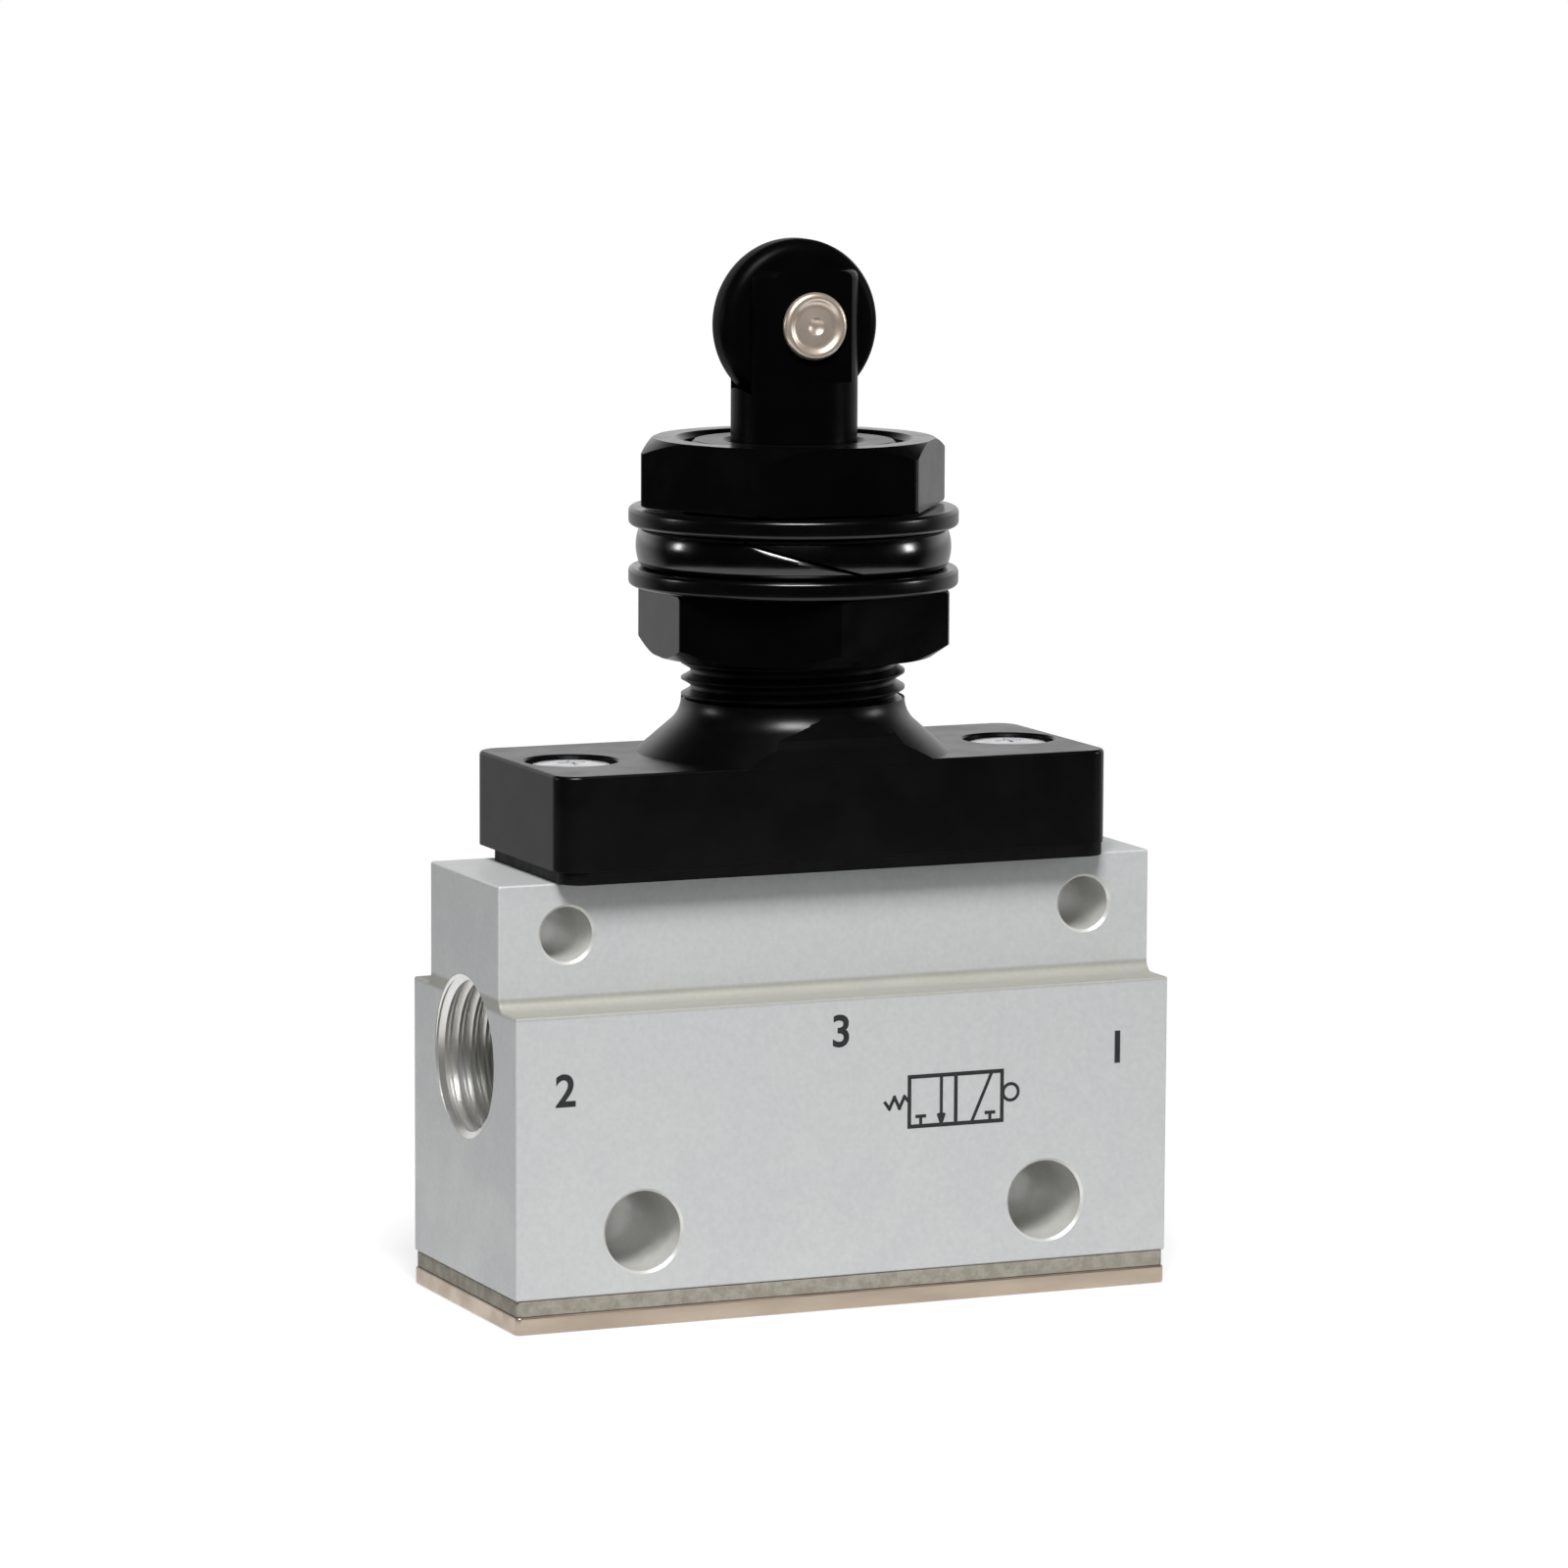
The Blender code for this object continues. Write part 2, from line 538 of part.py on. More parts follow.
def build_bottom():
    outline = rounded_rectangle(BODY_LENGTH, BLOCK_DEPTH, PLATE_CORNER, 4)
    plate = add_piece("bottom_plate", extruded(outline, PLATE_THICKNESS), NICKEL_PLATE)
    gasket_base = (0.0, 0.0, PLATE_THICKNESS + SEAT_GAP)
    gasket_bm = extruded(outline, BOTTOM_GASKET_THICKNESS)
    gasket = add_piece("bottom_gasket", gasket_bm, FIBRE_GASKET, gasket_base)
    countersink = [
        (0.0, -CUT_MARGIN),
        (PLATE_SCREW_HEAD_RADIUS + COUNTERSINK_WIDENING + CUT_MARGIN, -CUT_MARGIN),
        (SCREW_HOLE_RADIUS, PLATE_SCREW_CONE + COUNTERSINK_WIDENING - SEAT_GAP),
        (SCREW_HOLE_RADIUS, PLATE_THICKNESS + CUT_MARGIN), (0.0, PLATE_THICKNESS + CUT_MARGIN),
    ]
    screw = [
        (0.0, 0.0), (PLATE_SCREW_HEAD_RADIUS, 0.0), (SCREW_RADIUS, PLATE_SCREW_CONE),
        (SCREW_RADIUS, PLATE_SCREW_TIP), (0.0, PLATE_SCREW_TIP),
    ]
    for where, (x, y) in screw_places().items():
        cut(plate, turned(countersink, SMALL_STEPS), "countersink_" + where, (x, y, 0.0))
        clear_hole = disc(SCREW_HOLE_RADIUS, BOTTOM_GASKET_THICKNESS + 2 * CUT_MARGIN, SMALL_STEPS)
        cut(gasket, clear_hole, "hole_" + where, (x, y, PLATE_THICKNESS + SEAT_GAP - CUT_MARGIN))
        add_piece("plate_screw_" + where, turned(screw, SMALL_STEPS), ZINC_STEEL, (x, y, 0.0))


def flare_profile():
    """Outside of the neck: chamfered end, thread zone, fillet and the straight flare."""
    inner = CAP_BORE_RADIUS
    foot = -CAP_HEIGHT / 2
    centre = (NECK_RADIUS + FLARE_FILLET, FLARE_RISE)
    blend = arc(centre, FLARE_FILLET, 180.0, 180.0 + math.degrees(FLARE_SLOPE), 6)
    blend_radius, blend_height = blend[-1]
    flare_radius = blend_radius + blend_height * math.tan(FLARE_SLOPE)
    outside = [(inner, foot), (flare_radius, foot), (flare_radius, 0.0)]
    outside += reversed(blend)
    outside += [(NECK_RADIUS, NECK_HEIGHT - NECK_CHAMFER), (NECK_RADIUS - NECK_CHAMFER, NECK_HEIGHT)]
    outside.append((inner, NECK_HEIGHT))
    return outside


def flare_slab():
    """What the flare is cut back to: the block's two faces, bevelled above their flats."""
    face = CAP_DEPTH / 2 - FLARE_FLAT_INSET
    shallow = NECK_RADIUS + FLARE_FLAT_INSET
    low = -CAP_HEIGHT
    flat_top = FLARE_FLAT_HEIGHT
    bevel_top = flat_top + face - shallow
    high = NECK_HEIGHT + CUT_MARGIN
    right = [(face, low), (face, flat_top), (shallow, bevel_top), (shallow, high)]
    return extruded(right + [(-y, z) for y, z in reversed(right)], CAP_LENGTH, ALONG_BODY)


def build_cap():
    outline = rounded_rectangle(CAP_LENGTH, CAP_DEPTH, CAP_CORNER)
    block = extruded(outline, CAP_HEIGHT)
    top = [edge for edge in block.edges if all(abs(v.co.z - CAP_HEIGHT) < 1e-6 for v in edge.verts)]
    bmesh.ops.bevel(block, geom=top, offset=CAP_EDGE, segments=2, profile=0.5, affect="EDGES")
    cap = add_piece("actuator_cap", block, BLACK_ANODISED, (0.0, 0.0, CAP_BASE))

    profile = flare_profile()
    neck = add_object("actuator_cap_neck", turned(profile, FINE_STEPS), (0.0, 0.0, CAP_TOP))
    slab_tool = add_object("actuator_cap_slab", flare_slab(), (-CAP_LENGTH / 2, 0.0, CAP_TOP))
    combine(neck, slab_tool, "INTERSECT")
    combine(cap, neck, "UNION")

    bore = [
        (0.0, CAP_BASE - CUT_MARGIN), (CAP_BORE_RADIUS, CAP_BASE - CUT_MARGIN),
        (CAP_BORE_RADIUS, LIP_LEVEL), (ROD_BORE_RADIUS, LIP_LEVEL),
        (ROD_BORE_RADIUS, NECK_TOP + CUT_MARGIN), (0.0, NECK_TOP + CUT_MARGIN),
    ]
    cut(cap, turned(bore, FINE_STEPS), "bore")
    counterbore = [
        (0.0, CAP_BASE - CUT_MARGIN), (SCREW_HOLE_RADIUS, CAP_BASE - CUT_MARGIN),
        (SCREW_HOLE_RADIUS, CAP_HEAD_SEAT - SEAT_GAP), (CAP_COUNTERBORE_RADIUS, CAP_HEAD_SEAT - SEAT_GAP),
        (CAP_COUNTERBORE_RADIUS, CAP_TOP + CUT_MARGIN), (0.0, CAP_TOP + CUT_MARGIN),
    ]
    rim = CAP_SCREW_HEAD_HEIGHT / 4
    screw = [
        (0.0, CAP_SCREW_TIP), (SCREW_RADIUS, CAP_SCREW_TIP), (SCREW_RADIUS, CAP_HEAD_SEAT),
        (CAP_SCREW_HEAD_RADIUS, CAP_HEAD_SEAT), (CAP_SCREW_HEAD_RADIUS, CAP_HEAD_TOP - rim),
        (CAP_SCREW_HEAD_RADIUS - rim, CAP_HEAD_TOP), (0.0, CAP_HEAD_TOP),
    ]
    gasket_outline = rounded_rectangle(
        CAP_LENGTH - 2 * CAP_GASKET_INSET, RAIL_DEPTH - 2 * SEAT_GAP, CAP_CORNER)
    gasket_level = BODY_TOP + SEAT_GAP
    gasket_bm = extruded(gasket_outline, CAP_GASKET_THICKNESS)
    gasket = add_piece("cap_gasket", gasket_bm, SEALING_GASKET, (0.0, 0.0, gasket_level))
    opening = disc(CAP_BORE_RADIUS, CAP_GASKET_THICKNESS + 2 * CUT_MARGIN, ROUND_STEPS)
    cut(gasket, opening, "opening", (0.0, 0.0, gasket_level - CUT_MARGIN))
    for side, sign in (("left", -1.0), ("right", 1.0)):
        x = sign * CAP_SCREW_X
        cut(cap, turned(counterbore, ROUND_STEPS), "counterbore_" + side, (x, 0.0, 0.0))
        clear_hole = disc(SCREW_HOLE_RADIUS, CAP_GASKET_THICKNESS + 2 * CUT_MARGIN, SMALL_STEPS)
        cut(gasket, clear_hole, "hole_" + side, (x, 0.0, gasket_level - CUT_MARGIN))
        add_piece("cap_screw_" + side, turned(screw, ROUND_STEPS), ZINC_STEEL, (x, 0.0, 0.0))


def hex_nut(name, base, turn, chamfer_top):
    """A hexagon nut whose corners are turned down and chamfered on one face."""
    corner = NUT_FLATS / math.sqrt(3.0)
    outline = arc((0.0, 0.0), corner, 0.0, 300.0, 5)
    nut = add_piece(name, extruded(outline, NUT_HEIGHT), BLACK_ANODISED, (0.0, 0.0, base))
    nut.rotation_euler.z = turn
    face_radius = NUT_CORNER_RADIUS - NUT_CHAMFER
    blank = [
        (NUT_BORE_RADIUS, -CUT_MARGIN), (face_radius, -CUT_MARGIN), (face_radius, 0.0),
        (NUT_CORNER_RADIUS, NUT_CHAMFER_HEIGHT), (NUT_CORNER_RADIUS, NUT_HEIGHT + CUT_MARGIN),
        (NUT_BORE_RADIUS, NUT_HEIGHT + CUT_MARGIN),
    ]
    if chamfer_top:
        blank = [(radius, NUT_HEIGHT - height) for radius, height in blank]
    tool = add_object(name + "_blank", turned(blank, FINE_STEPS), (0.0, 0.0, base))
    combine(nut, tool, "INTERSECT")


def build_panel_hardware():
    hex_nut("lower_panel_nut", LOWER_NUT_BASE, LOWER_NUT_TURN, False)
    hex_nut("upper_panel_nut", UPPER_NUT_BASE, UPPER_NUT_TURN, True)
    edge = WASHER_THICKNESS / 4
    for name, level in (("lower_washer", LOWER_WASHER_BASE), ("upper_washer", UPPER_WASHER_BASE)):
        washer = ring(NUT_BORE_RADIUS, WASHER_RADIUS, WASHER_THICKNESS, FINE_STEPS, edge)
        add_piece(name, washer, BLACK_OXIDE, (0.0, 0.0, level))
    spring_washer = split_ring(
        SPRING_WASHER_BORE, SPRING_WASHER_RADIUS, SPRING_WASHER_HEIGHT,
        SPRING_WASHER_EDGE, SLIT_START, SLIT_SPAN)
    add_piece("spring_washer", spring_washer, BLACK_OXIDE, (0.0, 0.0, SPRING_WASHER_BASE))


def build_guides():
    bush = ring(ROD_BORE_RADIUS, BUSH_RADIUS, BUSH_HEIGHT, ROUND_STEPS)
    add_piece("plunger_bush", bush, BRASS, (0.0, 0.0, BUSH_BASE))
    rod_seal = ring(ROD_BORE_RADIUS, BUSH_RADIUS, ROD_SEAL_HEIGHT, ROUND_STEPS)
    add_piece("rod_seal", rod_seal, RUBBER, (0.0, 0.0, ROD_SEAL_BASE))
    guide = [
        (STEM_GUIDE_BORE, GUIDE_BOTTOM), (GUIDE_RADIUS, GUIDE_BOTTOM),
        (GUIDE_RADIUS, GUIDE_FLANGE_BASE), (ROD_FLANGE_RADIUS, GUIDE_FLANGE_BASE),
        (ROD_FLANGE_RADIUS, GUIDE_FLANGE_TOP), (STEM_GUIDE_BORE, GUIDE_FLANGE_TOP),
    ]
    add_piece("stem_guide", turned(guide, ROUND_STEPS), BRASS)
    chamber_bush = ring(STEM_GUIDE_BORE, GUIDE_RADIUS, CHAMBER_BUSH_HEIGHT, ROUND_STEPS)
    add_piece("chamber_bush", chamber_bush, BRASS, (0.0, 0.0, OUTLET_TOP + SEAT_GAP))
    stem_seal = ring(STEM_GUIDE_BORE, GUIDE_RADIUS, STEM_SEAL_HEIGHT, ROUND_STEPS)
    add_piece("stem_seal", stem_seal, RUBBER, (0.0, 0.0, STEM_SEAL_BASE))


def build_poppet():
    seat = disc(SUPPLY_CHAMBER_RADIUS - SEAT_GAP, SPRING_SEAT_HEIGHT, ROUND_STEPS)
    add_piece("spring_seat", seat, BRASS, (0.0, 0.0, BODY_BASE))
    poppet = [
        (0.0, POPPET_FLANGE_BASE - POPPET_STEM_LENGTH),
        (POPPET_STEM_RADIUS, POPPET_FLANGE_BASE - POPPET_STEM_LENGTH),
        (POPPET_STEM_RADIUS, POPPET_FLANGE_BASE), (POPPET_RADIUS, POPPET_FLANGE_BASE),
        (POPPET_RADIUS, POPPET_TOP), (0.0, POPPET_TOP),
    ]
    carriage = add_empty("poppet_carriage", (0.0, 0.0, VALVE_SEAT_LEVEL))
    poppet = [(radius, height - VALVE_SEAT_LEVEL) for radius, height in poppet]
    add_piece("poppet", turned(poppet, ROUND_STEPS), BRASS, (0.0, 0.0, VALVE_SEAT_LEVEL), carriage)
    seal = disc(POPPET_SEAL_RADIUS, POPPET_SEAL_HEIGHT, ROUND_STEPS)
    add_piece("poppet_seal", seal, RUBBER, (0.0, 0.0, POPPET_SEAL_BASE), carriage)
    height = POPPET_SPRING_TOP - POPPET_SPRING_BASE
    spring = coil(POPPET_SPRING_RADIUS, POPPET_SPRING_WIRE, height, POPPET_SPRING_TURNS)
    add_piece("poppet_spring", spring, STAINLESS_WIRE, (0.0, 0.0, POPPET_SPRING_BASE))


def build_plunger():
    carriage = add_empty("plunger_carriage", (0.0, 0.0, ROLLER_LEVEL))
    top = FORK_TOP_RISE
    rod_base = STEM_TOP + SEAT_GAP - ROLLER_LEVEL
    flange_base = ROD_FLANGE_BASE - ROLLER_LEVEL
    flange_top = ROD_FLANGE_TOP - ROLLER_LEVEL
    rod = [
        (0.0, rod_base), (ROD_TIP_RADIUS, rod_base), (ROD_TIP_RADIUS, flange_base),
        (ROD_FLANGE_RADIUS, flange_base), (ROD_FLANGE_RADIUS, flange_top), (ROD_RADIUS, flange_top),
    ]
    rod += arc((ROD_RADIUS - FORK_EDGE, top - FORK_EDGE), FORK_EDGE, 0.0, 90.0, 3)
    rod.append((0.0, top))
    plunger = add_piece(
        "roller_plunger", turned(rod, ROUND_STEPS), BLACK_NYLON, (0.0, 0.0, ROLLER_LEVEL), carriage)
    side = ROD_RADIUS - FORK_DEPTH / 2 + CUT_MARGIN
    flat_height = FORK_FLAT_DROP + FORK_TOP_RISE + CUT_MARGIN
    for where, sign in (("front", -1.0), ("back", 1.0)):
        offset = sign * (FORK_DEPTH + side) / 2
        flat = box(2 * ROD_RADIUS + CUT_MARGIN, side, flat_height)
        cut(plunger, flat, where + "_flat", (0.0, offset, ROLLER_LEVEL - FORK_FLAT_DROP))
    slot_drop = ROLLER_RADIUS + RUNNING_GAP
    slot = box(2 * ROD_RADIUS + CUT_MARGIN, SLOT_WIDTH, slot_drop + FORK_TOP_RISE + CUT_MARGIN)
    cut(plunger, slot, "slot", (0.0, 0.0, ROLLER_LEVEL - slot_drop))
    pin_hole = disc(PIN_HOLE_RADIUS, FORK_DEPTH + 2 * CUT_MARGIN, SMALL_STEPS, ALONG_Y)
    cut(plunger, pin_hole, "pin_hole", (0.0, -FORK_DEPTH / 2 - CUT_MARGIN, ROLLER_LEVEL))

    dish = PIN_HEAD_HEIGHT / 2
    end = PIN_REACH + PIN_HEAD_HEIGHT
    half_pin = [(PIN_RADIUS, PIN_REACH), (PIN_HEAD_RADIUS, PIN_REACH), (PIN_HEAD_RADIUS, end - dish)]
    half_pin += [(PIN_HEAD_RADIUS - dish, end), (PIN_DISH, end), (0.0, end - dish)]
    lower_half = [(radius, -height) for radius, height in reversed(half_pin)]
    pin_bm = turned(lower_half + half_pin, SMALL_STEPS, ALONG_Y)
    add_piece("roller_pin", pin_bm, NICKEL_PLATE, (0.0, 0.0, ROLLER_LEVEL), carriage)

    roller_axle = add_empty("roller_axle", (0.0, 0.0, ROLLER_LEVEL))
    half = ROLLER_WIDTH / 2
    bore = PIN_RADIUS + RUNNING_GAP
    wheel = [(bore, -half), (ROLLER_RADIUS - ROLLER_EDGE, -half), (ROLLER_RADIUS, ROLLER_EDGE - half)]
    wheel += [(ROLLER_RADIUS, half - ROLLER_EDGE), (ROLLER_RADIUS - ROLLER_EDGE, half), (bore, half)]
    wheel_bm = turned(wheel, FINE_STEPS, ALONG_Y)
    add_piece("roller", wheel_bm, BLACK_NYLON, (0.0, 0.0, ROLLER_LEVEL), roller_axle)

    length = STEM_TOP - STEM_BASE
    vent_level = EXHAUST_LEVEL - STEM_BASE
    bore_top = vent_level + STEM_VENT_RADIUS + STEM_BORE_RADIUS
    stem = [
        (0.0, length), (STEM_RADIUS, length), (STEM_RADIUS, 0.0), (STEM_BORE_RADIUS, 0.0),
        (STEM_BORE_RADIUS, bore_top), (0.0, bore_top),
    ]
    stem_piece = add_piece(
        "valve_stem", turned(stem, SMALL_STEPS), STAINLESS_WIRE, (0.0, 0.0, STEM_BASE), carriage)
    vent = disc(STEM_VENT_RADIUS, 2 * (STEM_RADIUS + CUT_MARGIN), SMALL_STEPS // 2, ALONG_Y)
    cut(stem_piece, vent, "vent", (0.0, -STEM_RADIUS - CUT_MARGIN, EXHAUST_LEVEL))

    height = PLUNGER_SPRING_TOP - PLUNGER_SPRING_BASE
    spring = coil(PLUNGER_SPRING_RADIUS, PLUNGER_SPRING_WIRE, height, PLUNGER_SPRING_TURNS)
    add_piece("plunger_spring", spring, STAINLESS_WIRE, (0.0, 0.0, PLUNGER_SPRING_BASE))


def main():
    clear_scene()
    build_body()
    build_bottom()
    build_cap()
    build_panel_hardware()
    build_guides()
    build_poppet()
    build_plunger()


main()
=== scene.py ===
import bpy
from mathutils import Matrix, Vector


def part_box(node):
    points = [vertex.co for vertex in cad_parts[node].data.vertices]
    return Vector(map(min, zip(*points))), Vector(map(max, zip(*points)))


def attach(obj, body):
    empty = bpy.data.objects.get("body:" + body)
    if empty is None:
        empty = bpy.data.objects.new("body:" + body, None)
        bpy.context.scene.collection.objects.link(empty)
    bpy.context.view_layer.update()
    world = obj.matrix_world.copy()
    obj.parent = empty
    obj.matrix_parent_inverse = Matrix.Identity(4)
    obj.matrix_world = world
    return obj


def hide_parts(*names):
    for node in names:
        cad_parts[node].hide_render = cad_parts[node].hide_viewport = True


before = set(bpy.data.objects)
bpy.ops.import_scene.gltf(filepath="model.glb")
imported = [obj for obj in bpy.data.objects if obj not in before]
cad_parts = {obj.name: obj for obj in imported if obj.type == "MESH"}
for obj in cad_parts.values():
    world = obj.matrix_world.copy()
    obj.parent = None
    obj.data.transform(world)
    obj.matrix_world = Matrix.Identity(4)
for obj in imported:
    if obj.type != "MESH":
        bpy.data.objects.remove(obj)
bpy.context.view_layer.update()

import math

import bmesh
import bpy
from bpy.props import FloatProperty, FloatVectorProperty, IntProperty, PointerProperty
from bpy.types import Operator, Panel, PropertyGroup
from mathutils import Matrix, Vector

bl_info = {
    "name": "Roller plunger valve",
    "version": (1, 0, 0),
    "blender": (4, 5, 0),
    "location": "3D View > Sidebar > Valve",
    "description": "Builds a panel-mount pneumatic valve with a roller plunger, its finishes and its stage",
    "category": "Add Mesh",
}

MM = 0.001
CUT_MARGIN = 1.0 * MM

BODY_LOW, BODY_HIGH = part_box("valve_body")
PLATE_LOW, PLATE_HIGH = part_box("bottom_plate")
CAP_LOW, CAP_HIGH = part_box("actuator_cap")
LOWER_NUT_LOW, LOWER_NUT_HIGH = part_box("lower_panel_nut")
UPPER_NUT_LOW, UPPER_NUT_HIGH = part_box("upper_panel_nut")
LOWER_WASHER_LOW, LOWER_WASHER_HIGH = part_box("lower_washer")
UPPER_WASHER_LOW, UPPER_WASHER_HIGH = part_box("upper_washer")
SPRING_WASHER_LOW, SPRING_WASHER_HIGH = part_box("spring_washer")
PLUNGER_LOW, PLUNGER_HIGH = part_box("roller_plunger")
ROLLER_LOW, ROLLER_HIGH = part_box("roller")
PIN_LOW, PIN_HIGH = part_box("roller_pin")
SCREW_LOW, SCREW_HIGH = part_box("cap_screw_right")
PLATE_SCREW_LOW, PLATE_SCREW_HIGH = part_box("plate_screw_front_left")

ALONG_X = Matrix.Rotation(math.radians(90.0), 4, "Y")
ALONG_MINUS_X = Matrix.Rotation(math.radians(-90.0), 4, "Y")
ALONG_Y = Matrix.Rotation(math.radians(-90.0), 4, "X")
ALONG_MINUS_Y = Matrix.Rotation(math.radians(90.0), 4, "X")
FACING_FRONT = Matrix.Rotation(math.radians(90.0), 4, "X")
ALONG_BODY = Matrix(((0, 0, 1, 0), (1, 0, 0, 0), (0, 1, 0, 0), (0, 0, 0, 1)))


def length(name, description, default):
    return FloatProperty(
        name=name, description=description, default=default, min=0.0, precision=5,
        unit="LENGTH", subtype="DISTANCE")


def colour(name, description, default):
    return FloatVectorProperty(
        name=name, description=description, default=default, min=0.0, max=1.0, size=3, subtype="COLOR")


class ValveBodySizes(PropertyGroup):
    shoulder: length("Shoulder height", "Height of the ledge between block and rail", 19.60 * MM)
    rail_depth: length("Rail depth", "Depth of the narrow upper rail", 11.75 * MM)
    fillet: length("Shoulder fillet", "Radius where the rail meets the ledge", 0.70 * MM)
    edge: length("Edge break", "Width of the broken outer edges", 0.14 * MM)
    lower_hole_x: length("Lower hole offset", "Lower mounting holes from the middle", 13.60 * MM)
    lower_hole_z: length("Lower hole height", "Lower mounting holes above the floor", 5.90 * MM)
    lower_hole_radius: length("Lower hole radius", "Radius of the lower mounting holes", 2.50 * MM)
    upper_hole_x: length("Upper hole offset", "Upper mounting holes from the middle", 17.50 * MM)
    upper_hole_z: length("Upper hole height", "Upper mounting holes above the floor", 24.10 * MM)
    upper_hole_radius: length("Upper hole radius", "Radius of the upper mounting holes", 1.70 * MM)
    hole_edge: length("Hole edge", "Chamfer round the mounting holes", 0.17 * MM)
    port_z: length("Port height", "Centre of both end ports above the floor", 15.90 * MM)
    port_minor: length("Port thread minor radius", "Crests of the end ports' thread", 4.70 * MM)
    port_major: length("Port thread major radius", "Roots of the end ports' thread", 5.06 * MM)
    port_mouth: length("Port mouth radius", "Chamfer of the end ports at the face", 5.09 * MM)
    port_depth: length("Port depth", "Depth of the end ports", 8.80 * MM)
    port_pitch: length("Port thread pitch", "Rise of the end ports' thread in one turn", 0.907 * MM)


class CapSizes(PropertyGroup):
    block_top: length("Block top", "Height of the cap block's top face", 34.00 * MM)
    corner: length("Corner radius", "Radius of the block's upright corners", 1.50 * MM)
    edge: length("Top edge", "Rounding of the block's top edge", 0.22 * MM)
    neck_radius: length("Neck radius", "Crest radius of the panel thread", 7.00 * MM)
    root_radius: length("Thread root radius", "Root radius of the panel thread", 6.42 * MM)
    pitch: length("Thread pitch", "Rise of the panel thread in one turn", 1.00 * MM)
    flare_rise: length("Flare rise", "Height over which the neck flares out", 3.35 * MM)
    flare_fillet: length("Flare fillet", "Radius of the flare's hollow", 2.00 * MM)
    chamfer: length("Neck chamfer", "Chamfer on the neck's end", 0.80 * MM)
    bore: length("Neck bore", "Radius of the bore for the bush", 5.25 * MM)
    lip_bore: length("Lip bore", "Radius of the opening round the plunger", 4.25 * MM)
    lip: length("Lip height", "Thickness of the lip at the neck's end", 1.25 * MM)
    screw_x: length("Screw offset", "Cap screws from the middle", 14.90 * MM)
    counterbore: length("Counterbore radius", "Recess of the cap screws", 2.90 * MM)


class HardwareSizes(PropertyGroup):
    flats: length("Across flats", "Width of both nuts across their flats", 17.45 * MM)
    nut_corner: length("Corner radius", "Radius to which the nuts' corners are turned", 9.95 * MM)
    nut_chamfer: length("Nut chamfer", "Width of the nuts' corner chamfer", 1.15 * MM)
    nut_chamfer_height: length("Nut chamfer height", "Height of the nuts' corner chamfer", 0.80 * MM)
    nut_bore: length("Bore", "Bore of nuts and plain washers", 7.06 * MM)
    seat: length("Seat", "How far each ring grows towards its neighbour", 0.05 * MM)
    spring_seat: length("Spring washer seat", "How far the spring washer grows each way", 0.17 * MM)
    spring_bore: length("Spring washer bore", "Bore of the split spring washer", 7.30 * MM)
    spring_corner: length("Spring washer corner", "Rounding of the spring washer's corners", 0.40 * MM)
    spring_bulge: length("Spring washer bulge", "Radius of the spring washer's bulging outside", 3.0 * MM)
    slit: length("Slit width", "Gap between the spring washer's ends", 0.20 * MM)
    tip: length("Tip thickness", "Thickness of the spring washer's blunt ends", 0.30 * MM)


class PlungerSizes(PropertyGroup):
    rod: length("Rod radius", "Radius of the plunger's rod", 3.95 * MM)
    fork_depth: length("Fork depth", "Depth over the fork's two flats", 6.00 * MM)
    slot: length("Slot width", "Width of the roller's slot", 3.30 * MM)
    edge: length("Fork edge", "Width of the fork's broken edges", 0.16 * MM)
    top_edge: length("Fork top edge", "Rounding of the fork's top", 0.50 * MM)
    roller_edge: length("Roller edge", "Rounding of the roller's rims", 0.90 * MM)
    pin: length("Pin radius", "Radius of the roller pin", 1.40 * MM)
    pin_head: length("Pin head radius", "Radius of the pin's riveted ends", 2.10 * MM)


class ValveFinishes(PropertyGroup):
    body: colour("Body", "Silver anodised aluminium", (0.60, 0.61, 0.61))
    # Painted reflection: the warm tone the ledge shows as it looks up past the cap is put into its colour, not lit by a
    # lamp.
    ledge_painted_reflection: colour("Body, warm", "Warm tone on the shoulder's ledge", (0.35, 0.345, 0.295))
    machined: colour("Machined aluminium", "Bores and threads of the body", (0.78, 0.78, 0.76))
    black: colour("Black anodised", "Cap and nuts", (0.0013, 0.0013, 0.0015))
    oxide: colour("Black oxide", "Washers", (0.0012, 0.0012, 0.0013))
    nylon: colour("Black nylon", "Plunger and roller", (0.0014, 0.0014, 0.0014))
    plate: colour("Plated steel", "Bottom plate", (0.48, 0.40, 0.32))
    pin: colour("Pin steel", "Roller pin", (0.88, 0.75, 0.64))
    zinc: colour("Zinc steel", "Screws", (0.72, 0.72, 0.73))
    # The gasket's darker olive colour is painted shade: it copies a darker band along the top of the bottom plate.
    gasket: colour("Fibre gasket", "Gasket above the bottom plate", (0.37, 0.345, 0.295))
    brass: colour("Brass", "Bushes and guides", (0.60, 0.45, 0.18))
    ink: colour("Ink", "Printed marks", (0.012, 0.012, 0.013))


class StageSettings(PropertyGroup):
    floor_radius: length("Floor radius", "Radius of the pale floor", 0.11)
    floor_colour: colour("Floor", "Colour of the floor under plain light", (0.40, 0.40, 0.40))
    ambient: FloatProperty(name="Ambient", description="Level of the plain light from all round",
                           default=0.18, min=0.0, max=2.0)
    key: FloatProperty(name="Key lamp", description="Power of the large lamp above the camera",
                       default=3.40, min=0.0, unit="POWER")
    left: FloatProperty(name="Left lamp", description="Power of the narrow lamp on the left",
                        default=0.22, min=0.0, unit="POWER")
    right: FloatProperty(name="Right lamp", description="Power of the narrow lamp on the right",
                         default=0.36, min=0.0, unit="POWER")
    round_steps: IntProperty(name="Round steps", description="Facets in a full turn of the large round pieces",
                             default=144, min=24, max=256)


